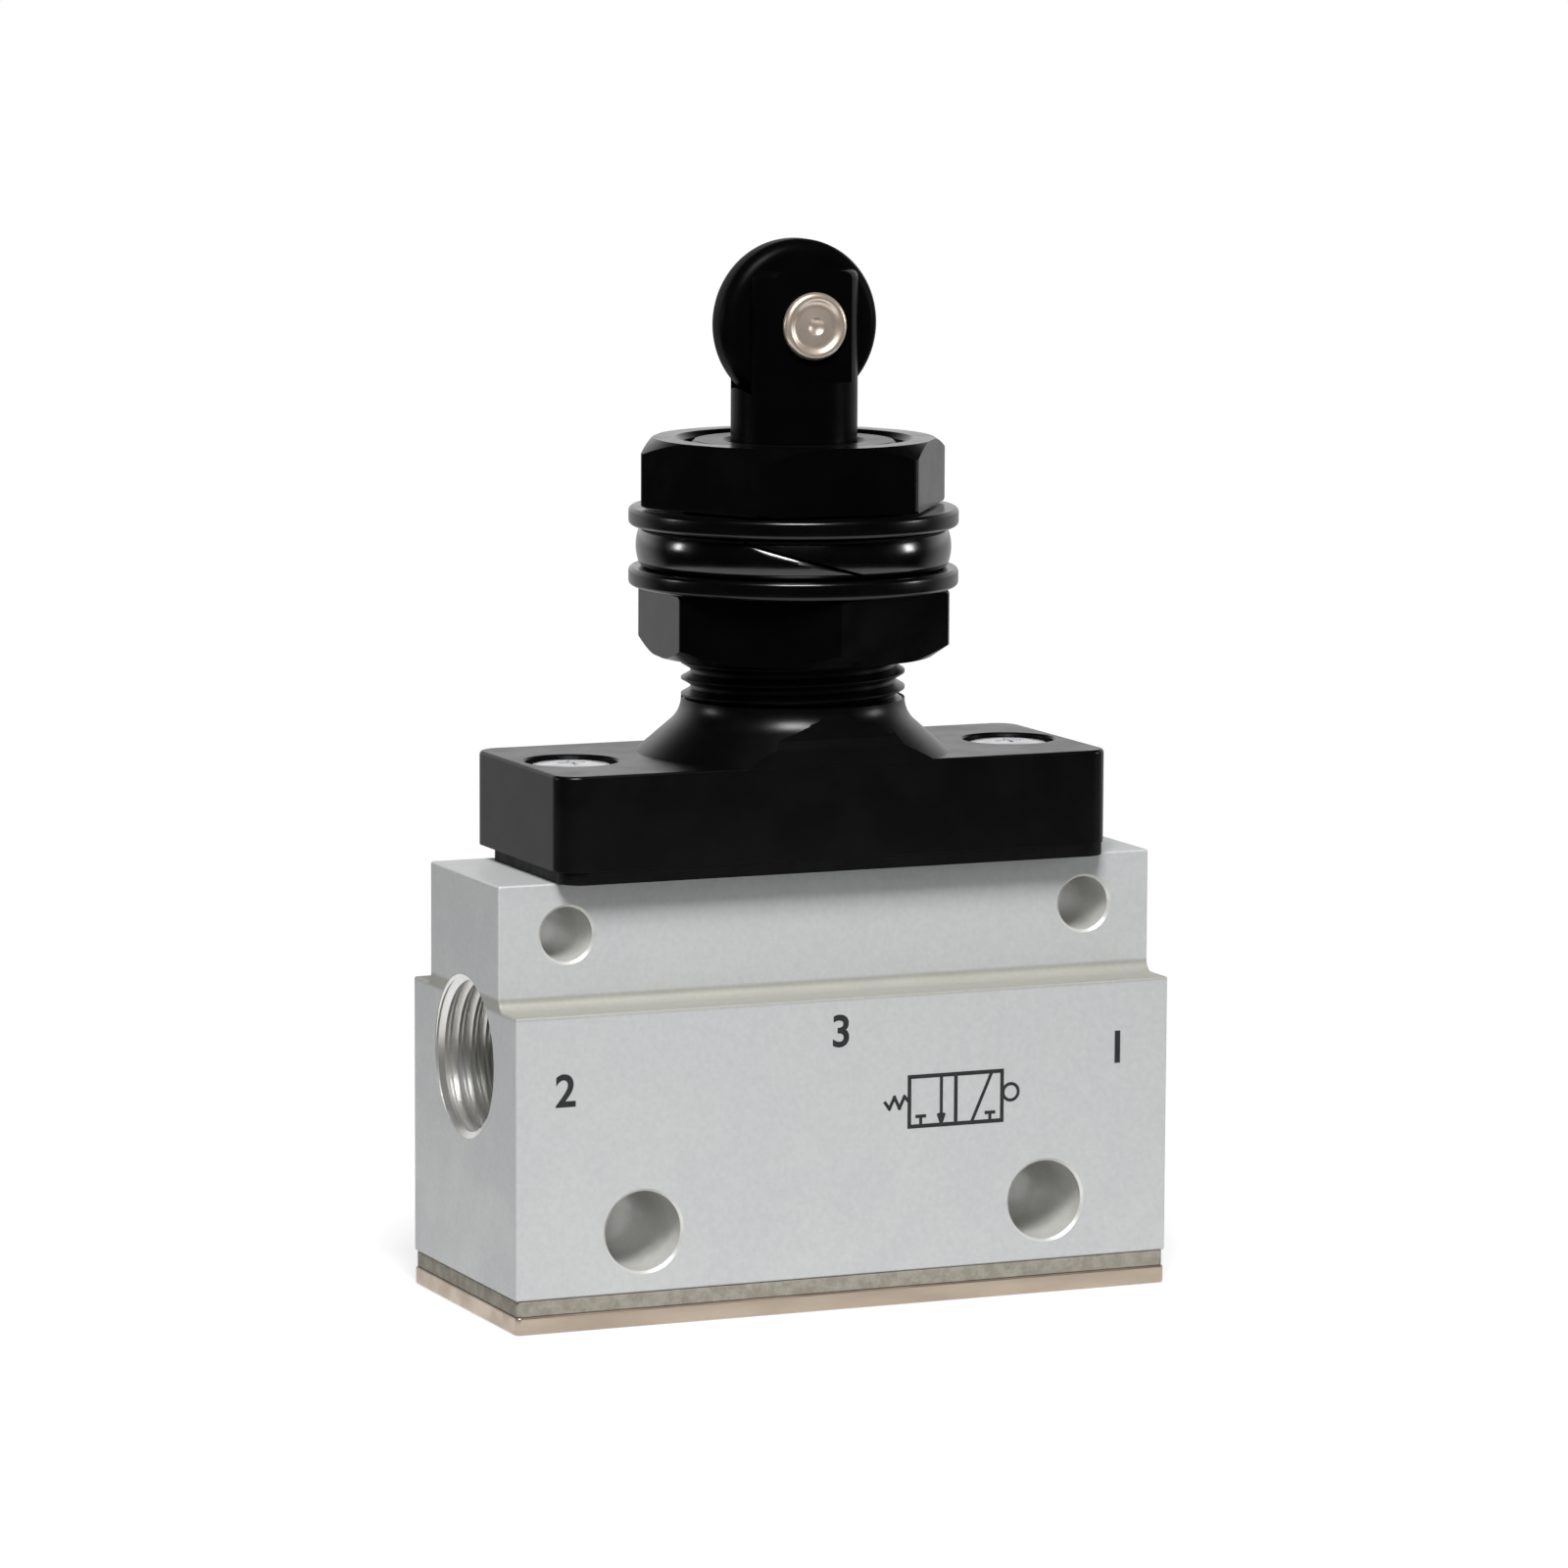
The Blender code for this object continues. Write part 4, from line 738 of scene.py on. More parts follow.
class VALVE_OT_stage(Operator):
    """Make the pale floor, the plain light, the lamps and the camera"""
    bl_idname = "valve.make_stage"
    bl_label = "Stage"

    def execute(self, context):
        settings = context.scene.valve_stage
        context.scene.view_settings.view_transform = "Standard"
        bm = bmesh.new()
        bmesh.ops.create_circle(bm, cap_ends=True, segments=96, radius=settings.floor_radius)
        moved(bm, (0.0, 0.0, -0.05 * MM))
        mesh = bpy.data.meshes.new("floor")
        bm.to_mesh(mesh)
        bm.free()
        floor = bpy.data.objects.new("floor", mesh)
        context.scene.collection.objects.link(floor)
        mesh.materials.append(floor_material(settings))
        right, up, forward = camera_axes()
        add_world(settings, forward)
        camera_azimuth = -math.degrees(CAMERA_YAW)
        add_lamp("key_lamp", camera_azimuth + 3.0, 52.0, 0.20, 0.18, settings.key)
        add_lamp("left_lamp", camera_azimuth - 93.0, 10.0, 0.050, 0.080, settings.left)
        add_lamp("right_lamp", camera_azimuth + 93.0, 10.0, 0.060, 0.090, settings.right)
        lens = bpy.data.cameras.new("camera")
        lens.lens = CAMERA_LENS
        lens.sensor_width = CAMERA_SENSOR
        lens.clip_start = 0.01
        camera = bpy.data.objects.new("camera", lens)
        context.scene.collection.objects.link(camera)
        turn = Matrix((right, up, -forward)).transposed().to_4x4()
        camera.matrix_world = Matrix.Translation(CAMERA_PLACE) @ turn
        context.scene.camera = camera
        return {"FINISHED"}


def body_blank(sizes):
    """The extrusion before machining: wide block, filleted shoulder, narrow rail."""
    block_half = BODY_HIGH.y
    rail_half = sizes.rail_depth / 2
    low, top = BODY_LOW.z, BODY_HIGH.z
    outline = [
        (-block_half, low), (block_half, low), (block_half, sizes.shoulder), (rail_half, sizes.shoulder),
        (rail_half, top), (-rail_half, top), (-rail_half, sizes.shoulder), (-block_half, sizes.shoulder),
    ]
    bm = extruded(outline, BODY_HIGH.x - BODY_LOW.x, ALONG_BODY, (BODY_LOW.x, 0.0, 0.0))
    inner = [e for e in bm.edges if all(abs(abs(v.co.y) - rail_half) < 1e-6
                                        and abs(v.co.z - sizes.shoulder) < 1e-6 for v in e.verts)]
    break_edges(bm, inner, sizes.fillet, 8)
    break_edges(bm, sharp_edges(bm, 60.0), sizes.edge, 3)
    return bm


PORT_CONE = 0.6


def port_steps(sizes, steps):
    """Drill and tap for the two end ports."""
    cone = (sizes.port_mouth - sizes.port_minor) * PORT_CONE
    tool = [
        (0.0, -CUT_MARGIN), (sizes.port_mouth, -CUT_MARGIN), (sizes.port_mouth, 0.04 * MM),
        (sizes.port_minor, cone), (sizes.port_minor, sizes.port_depth),
        (0.0, sizes.port_depth + 2.4 * MM),
    ]
    section = groove_section(sizes.port_minor - 0.08 * MM, sizes.port_major, sizes.port_pitch, 0.10 * MM)
    made = []
    for x, matrix in ((BODY_LOW.x, ALONG_X), (BODY_HIGH.x, ALONG_MINUS_X)):
        place = (x, 0.0, sizes.port_z)
        made.append(("DIFFERENCE", turned(tool, steps, matrix, place), 2))
        tap = swept_thread(section, sizes.port_pitch, 9, 72, -1.1 * sizes.port_pitch)
        bmesh.ops.transform(tap, matrix=Matrix.Translation(place) @ matrix, verts=tap.verts)
        made.append(("DIFFERENCE", tap, 2))
    return made


def exhaust_steps(sizes):
    """Drill and tap for the exhaust at the back of the rail."""
    minor, major, pitch, mouth, level = 2.10 * MM, 2.50 * MM, 0.80 * MM, 2.65 * MM, 23.35 * MM
    depth = sizes.rail_depth / 2
    tool = [
        (0.0, -CUT_MARGIN), (mouth + CUT_MARGIN, -CUT_MARGIN), (minor, mouth - minor),
        (minor, depth), (0.0, depth),
    ]
    place = (0.0, depth, level)
    tap = swept_thread(groove_section(minor - 0.06 * MM, major, pitch, 0.09 * MM), pitch, 5, 48, -1.1 * pitch)
    bmesh.ops.transform(tap, matrix=Matrix.Translation(place) @ ALONG_MINUS_Y, verts=tap.verts)
    return [("DIFFERENCE", turned(tool, 64, ALONG_MINUS_Y, place), 2), ("DIFFERENCE", tap, 2)]


def mounting_hole(radius, edge, depth, place):
    """A through hole with both mouths broken."""
    half = depth / 2
    wide = radius + edge + CUT_MARGIN
    profile = [
        (0.0, -half - CUT_MARGIN), (wide, -half - CUT_MARGIN), (radius, -half + edge),
        (radius, half - edge), (wide, half + CUT_MARGIN), (0.0, half + CUT_MARGIN),
    ]
    return ("DIFFERENCE", turned(profile, 96, ALONG_Y, place), 1)


def valve_bore():
    """The stepped bore for poppet, seat and guides."""
    low, top = BODY_LOW.z, BODY_HIGH.z
    profile = [
        (0.0, low - CUT_MARGIN), (4.6 * MM, low - CUT_MARGIN), (4.6 * MM, 14.70 * MM), (2.4 * MM, 14.70 * MM),
        (2.4 * MM, 15.90 * MM), (3.3 * MM, 15.90 * MM), (3.3 * MM, 19.20 * MM), (3.8 * MM, 19.20 * MM),
        (3.8 * MM, top + CUT_MARGIN), (0.0, top + CUT_MARGIN),
    ]
    return ("DIFFERENCE", turned(profile, 64), 1)


class VALVE_OT_body(Operator):
    """Machine the silver valve body out of its extrusion, with threaded ports and mounting holes"""
    bl_idname = "valve.make_body"
    bl_label = "Valve body"

    def execute(self, context):
        sizes = context.scene.valve_body_sizes
        steps = [valve_bore()] + port_steps(sizes, 96) + exhaust_steps(sizes)
        reach = BODY_HIGH.x - sizes.port_depth + CUT_MARGIN
        steps.append(("DIFFERENCE", drill(1.1 * MM, reach, 32, ALONG_MINUS_X, (0.0, 0.0, 17.55 * MM)), 1))
        steps.append(("DIFFERENCE", drill(1.1 * MM, reach, 32, ALONG_X, (0.0, 0.0, 13.10 * MM)), 1))
        for sign in (-1.0, 1.0):
            steps.append(mounting_hole(
                sizes.lower_hole_radius, sizes.hole_edge, BODY_HIGH.y * 2,
                (sign * sizes.lower_hole_x, 0.0, sizes.lower_hole_z)))
            steps.append(mounting_hole(
                sizes.upper_hole_radius, sizes.hole_edge, sizes.rail_depth,
                (sign * sizes.upper_hole_x, 0.0, sizes.upper_hole_z)))
            place = (sign * context.scene.valve_cap_sizes.screw_x, 0.0, SCREW_LOW.z - 0.25 * MM)
            steps.append(("DIFFERENCE", drill(1.25 * MM, 3.0 * MM, 32, None, place), 1))
            for y in (-5.2 * MM, 5.2 * MM):
                place = (sign * 19.0 * MM, y, BODY_LOW.z - CUT_MARGIN)
                steps.append(("DIFFERENCE", drill(1.25 * MM, 5.45 * MM, 32, None, place), 1))
        bm = shaped(body_blank(sizes), steps)
        add_piece("silver_valve_body", bm, "valve", ["valve_body"],
                  ["silver_anodised", "machined_aluminium", "tapped_aluminium"])
        return {"FINISHED"}


def cross_recess(width, arm, depth, top, downwards=True):
    """The two tapered slots of a cross recess, sunk from height top."""
    tools = []
    for along_x in (True, False):
        half = (width / 2, arm / 2) if along_x else (arm / 2, width / 2)
        low, high = (top - depth, top + CUT_MARGIN) if downwards else (top - CUT_MARGIN, top + depth)
        bm = block((-half[0], -half[1], low), (half[0], half[1], high))
        tip = low if downwards else high
        ends = [v for v in bm.verts if abs(v.co.z - tip) < 1e-7]
        bmesh.ops.scale(bm, vec=(0.45, 0.45, 1.0) if along_x else (0.45, 0.45, 1.0), verts=ends)
        tools.append(bm)
    return tools


class VALVE_OT_bottom(Operator):
    """Make the bottom plate, its gasket coloured with painted shade and its four countersunk screws"""
    bl_idname = "valve.make_bottom"
    bl_label = "Bottom plate"

    def execute(self, context):
        plate_top = PLATE_HIGH.z + 0.05 * MM
        plate = rounded_block(PLATE_LOW, (PLATE_HIGH.x, PLATE_HIGH.y, plate_top), 0.35 * MM, 0.12 * MM, 0.12 * MM)
        gasket_low = (PLATE_LOW.x + 0.08 * MM, PLATE_LOW.y + 0.08 * MM, plate_top + 0.01 * MM)
        gasket_high = (PLATE_HIGH.x - 0.08 * MM, PLATE_HIGH.y - 0.08 * MM, BODY_LOW.z - 0.01 * MM)
        gasket = rounded_block(gasket_low, gasket_high, 0.35 * MM, 0.08 * MM, 0.08 * MM)
        head_radius = 2.0 * MM
        shaft_radius = 1.0 * MM
        sunk = [
            (0.0, -CUT_MARGIN), (head_radius + 0.12 * MM + CUT_MARGIN, -CUT_MARGIN),
            (shaft_radius + 0.1 * MM, 1.02 * MM), (shaft_radius + 0.1 * MM, 4.0 * MM), (0.0, 4.0 * MM),
        ]
        screw = [
            (0.0, 0.02 * MM), (head_radius - 0.15 * MM, 0.02 * MM), (head_radius, 0.14 * MM),
            (shaft_radius, 1.1 * MM), (shaft_radius, PLATE_SCREW_HIGH.z - 0.3 * MM),
            (shaft_radius - 0.3 * MM, PLATE_SCREW_HIGH.z), (0.0, PLATE_SCREW_HIGH.z),
        ]
        plate_steps = []
        gasket_steps = []
        for name in ("front_left", "front_right", "back_left", "back_right"):
            low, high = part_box("plate_screw_" + name)
            place = ((low.x + high.x) / 2, (low.y + high.y) / 2, 0.0)
            plate_steps.append(("DIFFERENCE", turned(sunk, 48, None, place), 0))
            gasket_steps.append(("DIFFERENCE", drill(1.3 * MM, 5.0 * MM, 32, None, (place[0], place[1], 0.0)), 0))
            tools = cross_recess(2.3 * MM, 0.55 * MM, 0.8 * MM, 0.02 * MM, downwards=False)
            bm = shaped(turned(screw, 48), [("DIFFERENCE", tool, 0) for tool in tools])
            add_piece("plate_screw_cross_" + name, moved(bm, place), "valve",
                      ["plate_screw_" + name], ["zinc_steel"])
        add_piece("plated_bottom_plate", shaped(plate, plate_steps), "valve",
                  ["bottom_plate"], ["plated_steel"])
        # The gasket's colour is painted shade along the top of the plate.
        add_piece("bottom_gasket_painted_shade", shaped(gasket, gasket_steps), "valve",
                  ["bottom_gasket"], ["gasket_painted_shade"])
        return {"FINISHED"}


FLARE_SLOPE = 49.0
FLARE_FLAT_HEIGHT = 1.0 * MM
CAP_FLAT_INSET = 0.03 * MM
THREAD_FOOT = 36.55 * MM
THREAD_START = math.radians(165.0)


def neck_profile(sizes):
    """Outside of the neck without its thread: straight flare, fillet, plain collar and thread root."""
    level = sizes.block_top
    neck_top = CAP_HIGH.z
    centre = (sizes.neck_radius + sizes.flare_fillet, level + sizes.flare_rise)
    blend = arc(centre, sizes.flare_fillet, 180.0, 180.0 + FLARE_SLOPE, 14)
    last_radius, last_height = blend[-1]
    flare_radius = last_radius + (last_height - level) * math.tan(math.radians(FLARE_SLOPE))
    foot = level - 3.0 * MM
    profile = [(0.0, foot), (flare_radius, foot), (flare_radius, level)]
    profile += reversed(blend)
    depth = sizes.neck_radius - sizes.root_radius
    collar = level + sizes.flare_rise - 0.15 * MM
    profile += [(sizes.neck_radius, collar), (sizes.root_radius, collar + depth * 0.6)]
    profile += [(sizes.root_radius, neck_top), (0.0, neck_top)]
    return profile


def neck_trim(sizes):
    """What turns the thread's crests to size and chamfers the neck's end."""
    neck_top = CAP_HIGH.z
    wide = sizes.neck_radius + 2.0 * MM
    foot = sizes.block_top + sizes.flare_rise + 0.02 * MM
    end_radius = sizes.neck_radius - sizes.chamfer
    return [
        (0.0, neck_top), (end_radius, neck_top), (sizes.neck_radius, neck_top - sizes.chamfer),
        (sizes.neck_radius, foot), (wide, foot), (wide, neck_top + 2.0 * MM), (0.0, neck_top + 2.0 * MM),
    ]


def flare_slab(sizes):
    """The cap's front and back faces carried up, with their bevels, to cut the flare back."""
    face = CAP_HIGH.y - CAP_FLAT_INSET
    shallow = sizes.neck_radius + CAP_FLAT_INSET
    low = sizes.block_top - 5.0 * MM
    flat_top = sizes.block_top + FLARE_FLAT_HEIGHT
    right = [(face, low), (face, flat_top), (shallow, flat_top + face - shallow), (shallow, CAP_HIGH.z + CUT_MARGIN)]
    outline = right + [(-y, z) for y, z in reversed(right)]
    return extruded(outline, CAP_HIGH.x - CAP_LOW.x, ALONG_BODY, (CAP_LOW.x, 0.0, 0.0))


class VALVE_OT_cap(Operator):
    """Make the black cap with its flare, threaded neck and screw recesses, and the gasket under it"""
    bl_idname = "valve.make_cap"
    bl_label = "Actuator cap"

    def execute(self, context):
        sizes = context.scene.valve_cap_sizes
        steps = context.scene.valve_stage.round_steps
        section = thread_section(sizes.root_radius - 0.12 * MM, sizes.neck_radius + 0.01 * MM,
                                 sizes.pitch, 0.10 * MM)
        turns = math.ceil((CAP_HIGH.z - THREAD_FOOT) / sizes.pitch) + 1
        ridge = swept_thread(section, sizes.pitch, turns, 96, THREAD_FOOT, THREAD_START)
        neck = shaped(turned(neck_profile(sizes), steps), [
            ("UNION", ridge, 0),
            ("DIFFERENCE", turned(neck_trim(sizes), steps), 0),
            ("INTERSECT", flare_slab(sizes), 0),
        ])
        block_bm = rounded_block(CAP_LOW, (CAP_HIGH.x, CAP_HIGH.y, sizes.block_top), sizes.corner,
                                 sizes.edge, 0.02 * MM)
        lip_level = CAP_HIGH.z - sizes.lip
        bore = [
            (0.0, CAP_LOW.z - CUT_MARGIN), (sizes.bore, CAP_LOW.z - CUT_MARGIN), (sizes.bore, lip_level),
            (sizes.lip_bore, lip_level), (sizes.lip_bore, CAP_HIGH.z - 0.25 * MM),
            (sizes.lip_bore + 0.25 * MM + CUT_MARGIN, CAP_HIGH.z + CUT_MARGIN), (0.0, CAP_HIGH.z + CUT_MARGIN),
        ]
        seat = SCREW_HIGH.z - 1.6 * MM - 0.1 * MM
        edge = 0.12 * MM
        recess = [
            (0.0, CAP_LOW.z - CUT_MARGIN), (1.25 * MM, CAP_LOW.z - CUT_MARGIN), (1.25 * MM, seat),
            (sizes.counterbore, seat), (sizes.counterbore, sizes.block_top - edge),
            (sizes.counterbore + edge + CUT_MARGIN, sizes.block_top + CUT_MARGIN),
            (0.0, sizes.block_top + CUT_MARGIN),
        ]
        cuts = [("UNION", neck, 0), ("DIFFERENCE", turned(bore, 96), 0)]
        for sign in (-1.0, 1.0):
            cuts.append(("DIFFERENCE", turned(recess, 72, None, (sign * sizes.screw_x, 0.0, 0.0)), 0))
        add_piece("black_actuator_cap", shaped(block_bm, cuts), "valve",
                  ["actuator_cap"], ["black_anodised"])
        low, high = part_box("cap_gasket")
        seal = rounded_block(
            (low.x + 0.25 * MM, CAP_LOW.y + 0.04 * MM, BODY_HIGH.z + 0.01 * MM),
            (CAP_HIGH.x - 0.12 * MM, high.y + 0.10 * MM, CAP_LOW.z - 0.01 * MM), 1.40 * MM, 0.02 * MM, 0.02 * MM)
        holes = [("DIFFERENCE", drill(sizes.bore, 4.0 * MM, 64, None, (0.0, 0.0, BODY_HIGH.z - CUT_MARGIN)), 0)]
        for sign in (-1.0, 1.0):
            place = (sign * sizes.screw_x, 0.0, BODY_HIGH.z - CUT_MARGIN)
            holes.append(("DIFFERENCE", drill(1.25 * MM, 4.0 * MM, 32, None, place), 0))
        add_piece("black_cap_gasket", shaped(seal, holes), "valve", ["cap_gasket"], ["black_rubber"])
        return {"FINISHED"}


class VALVE_OT_cap_screws(Operator):
    """Make the two pan-head screws that hold the cap"""
    bl_idname = "valve.make_cap_screws"
    bl_label = "Cap screws"

    def execute(self, context):
        head = (SCREW_HIGH.x - SCREW_LOW.x) / 2
        top = SCREW_HIGH.z + 0.08 * MM
        seat = top - 1.6 * MM
        shaft = 1.0 * MM
        profile = [(0.0, SCREW_LOW.z), (shaft - 0.25 * MM, SCREW_LOW.z), (shaft, SCREW_LOW.z + 0.25 * MM), (shaft, seat)]
        profile += [(head - 0.12 * MM, seat), (head, seat + 0.12 * MM)]
        profile += arc((head - 0.38 * MM, top - 0.50 * MM), 0.38 * MM, 0.0, 75.0, 8)
        profile += [(head * 0.5, top - 0.03 * MM), (0.0, top)]
        for side, sign in (("left", -1.0), ("right", 1.0)):
            tools = cross_recess(2.5 * MM, 0.40 * MM, 1.05 * MM, top)
            turn = Matrix.Rotation(math.radians(-5.0), 4, "Z")
            for tool in tools:
                bmesh.ops.transform(tool, matrix=turn, verts=tool.verts)
            bm = shaped(turned(profile, 72), [("DIFFERENCE", tool, 0) for tool in tools])
            x = sign * context.scene.valve_cap_sizes.screw_x
            add_piece("pan_screw_" + side, moved(bm, (x, 0.0, 0.0)), "valve",
                      ["cap_screw_" + side], ["zinc_steel"])
        return {"FINISHED"}


def panel_nut(sizes, low, high, turn, chamfer_top, steps):
    """A hexagon nut with softened corners, chamfered on one face."""
    bm = bmesh.new()
    bmesh.ops.create_cone(
        bm, cap_ends=True, segments=6, radius1=sizes.flats / math.sqrt(3.0),
        radius2=sizes.flats / math.sqrt(3.0), depth=high - low)
    start = math.atan2(bm.verts[:][0].co.y, bm.verts[:][0].co.x)
    bmesh.ops.rotate(bm, cent=(0.0, 0.0, 0.0), matrix=Matrix.Rotation(turn - start, 3, "Z"), verts=bm.verts)
    upright = [e for e in bm.edges if abs(e.verts[0].co.z - e.verts[1].co.z) > 1e-6]
    break_edges(bm, upright, 0.09 * MM, 2)
    height = high - low
    moved(bm, (0.0, 0.0, height / 2))
    edge = 0.14 * MM
    face = sizes.nut_corner - sizes.nut_chamfer
    mouth = 0.35 * MM
    blank = [
        (sizes.nut_bore + mouth, 0.0), (face, 0.0), (sizes.nut_corner, sizes.nut_chamfer_height),
        (sizes.nut_corner, height - edge), (sizes.nut_corner - edge, height), (sizes.nut_bore + mouth, height),
        (sizes.nut_bore, height - mouth), (sizes.nut_bore, mouth),
    ]
    if chamfer_top:
        blank = [(radius, height - z) for radius, z in blank]
    return moved(shaped(bm, [("INTERSECT", turned(blank, steps), 0)]), (0.0, 0.0, low))


LOWER_NUT_TURN = math.radians(23.0)
UPPER_NUT_TURN = math.radians(55.8)


class VALVE_OT_nuts(Operator):
    """Make the two hexagon panel nuts"""
    bl_idname = "valve.make_nuts"
    bl_label = "Panel nuts"

    def execute(self, context):
        sizes = context.scene.valve_hardware_sizes
        steps = context.scene.valve_stage.round_steps
        bm = panel_nut(sizes, LOWER_NUT_LOW.z, LOWER_NUT_HIGH.z + sizes.seat, LOWER_NUT_TURN, False, steps)
        add_piece("lower_hexagon_nut", bm, "lower_nut", ["lower_panel_nut"], ["black_turned"])
        bm = panel_nut(sizes, UPPER_NUT_LOW.z - sizes.seat, UPPER_NUT_HIGH.z, UPPER_NUT_TURN, True, steps)
        add_piece("upper_hexagon_nut", bm, "upper_nut", ["upper_panel_nut"], ["black_turned"])
        return {"FINISHED"}


def ring_profile(bore, outer, low, high, rounding, steps):
    """Section of a ring with round outer and lightly broken inner corners."""
    inner = min(rounding, 0.15 * MM)
    profile = [(bore + inner, low)]
    profile += arc((outer - rounding, low + rounding), rounding, -90.0, 0.0, steps)
    profile += arc((outer - rounding, high - rounding), rounding, 0.0, 90.0, steps)
    profile += [(bore + inner, high), (bore, high - inner), (bore, low + inner)]
    return profile


def barrel_profile(bore, outer, low, high, corner, bulge, steps):
    """Section of a ring whose outside bulges with radius bulge and has round corners."""
    middle = (low + high) / 2
    lean = math.asin((high - middle - corner) / (bulge - corner))
    rise = (bulge - corner) * math.sin(lean)
    across = outer - bulge + (bulge - corner) * math.cos(lean)
    slant = math.degrees(lean)
    inner = 0.15 * MM
    profile = [(bore + inner, low)]
    profile += arc((across, middle - rise), corner, -90.0, -slant, steps)
    profile += arc((outer - bulge, middle), bulge, -slant, slant, 2 * steps)[1:-1]
    profile += arc((across, middle + rise), corner, slant, 90.0, steps)
    profile += [(bore + inner, high), (bore, high - inner), (bore, low + inner)]
    return profile


class VALVE_OT_washers(Operator):
    """Make the two plain washers"""
    bl_idname = "valve.make_washers"
    bl_label = "Plain washers"

    def execute(self, context):
        sizes = context.scene.valve_hardware_sizes
        steps = context.scene.valve_stage.round_steps
        for name, body, low, high in (
                ("lower", "lower_washers", LOWER_WASHER_LOW, LOWER_WASHER_HIGH),
                ("upper", "upper_washers", UPPER_WASHER_LOW, UPPER_WASHER_HIGH)):
            profile = ring_profile(sizes.nut_bore, high.x, low.z - sizes.seat, high.z + sizes.seat, 0.28 * MM, 5)
            add_piece(name + "_plain_washer", turned(profile, steps), body,
                      [name + "_washer"], ["black_oxide"])
        return {"FINISHED"}


SLIT_START = math.radians(229.0)
SLIT_SPAN = math.radians(43.0)


def slit_steps(sizes, low, high, outer):
    """The stepped, sloping slit of the spring washer."""
    inner = sizes.spring_bore - 0.5 * MM
    reach = outer + 0.5 * MM
    height = high - low
    sloping = height - 2 * sizes.tip
    count = 24
    bm = bmesh.new()
    half = sizes.slit / 2
    lip = outer - 0.12 * MM
    drop = half + (reach - lip) * 1.8
    corners = [(inner, -half), (lip, -half), (reach, -drop), (reach, half), (inner, half)]
    face = bm.faces.new([bm.verts.new((radius, 0.0, z)) for radius, z in corners])
    geom = [face] + list(face.edges) + list(face.verts)
    bmesh.ops.spin(
        bm, geom=geom, cent=(0.0, 0.0, 0.0), axis=(0.0, 0.0, 1.0), dvec=(0.0, 0.0, -sloping / count),
        angle=SLIT_SPAN, steps=count, use_merge=False, use_duplicate=False)
    start = Matrix.Translation((0.0, 0.0, high - sizes.tip)) @ Matrix.Rotation(SLIT_START, 4, "Z")
    bmesh.ops.transform(bm, matrix=start, verts=bm.verts)
    bmesh.ops.recalc_face_normals(bm, faces=bm.faces)
    made = [("DIFFERENCE", bm, 0)]
    for angle, foot, head in (
            (SLIT_START, high - sizes.tip - half, high + CUT_MARGIN),
            (SLIT_START + SLIT_SPAN, low - CUT_MARGIN, low + sizes.tip + half)):
        step = block((inner, -sizes.slit / 2, foot), (reach, sizes.slit / 2, head))
        bmesh.ops.rotate(step, cent=(0.0, 0.0, 0.0), matrix=Matrix.Rotation(angle, 3, "Z"), verts=step.verts)
        made.append(("DIFFERENCE", step, 0))
    return made


class VALVE_OT_spring_washer(Operator):
    """Make the split spring washer"""
    bl_idname = "valve.make_spring_washer"
    bl_label = "Spring washer"

    def execute(self, context):
        sizes = context.scene.valve_hardware_sizes
        low = SPRING_WASHER_LOW.z - sizes.spring_seat
        high = SPRING_WASHER_HIGH.z + sizes.spring_seat
        outer = 9.85 * MM
        profile = barrel_profile(
            sizes.spring_bore, outer, low, high, sizes.spring_corner, sizes.spring_bulge, 5)
        ring = turned(profile, context.scene.valve_stage.round_steps)
        bm = shaped(ring, slit_steps(sizes, low, high, outer))
        add_piece("split_spring_washer", bm, "lower_washers", ["spring_washer"], ["spring_oxide"])
        return {"FINISHED"}


ROLLER_CENTRE = (ROLLER_LOW + ROLLER_HIGH) / 2


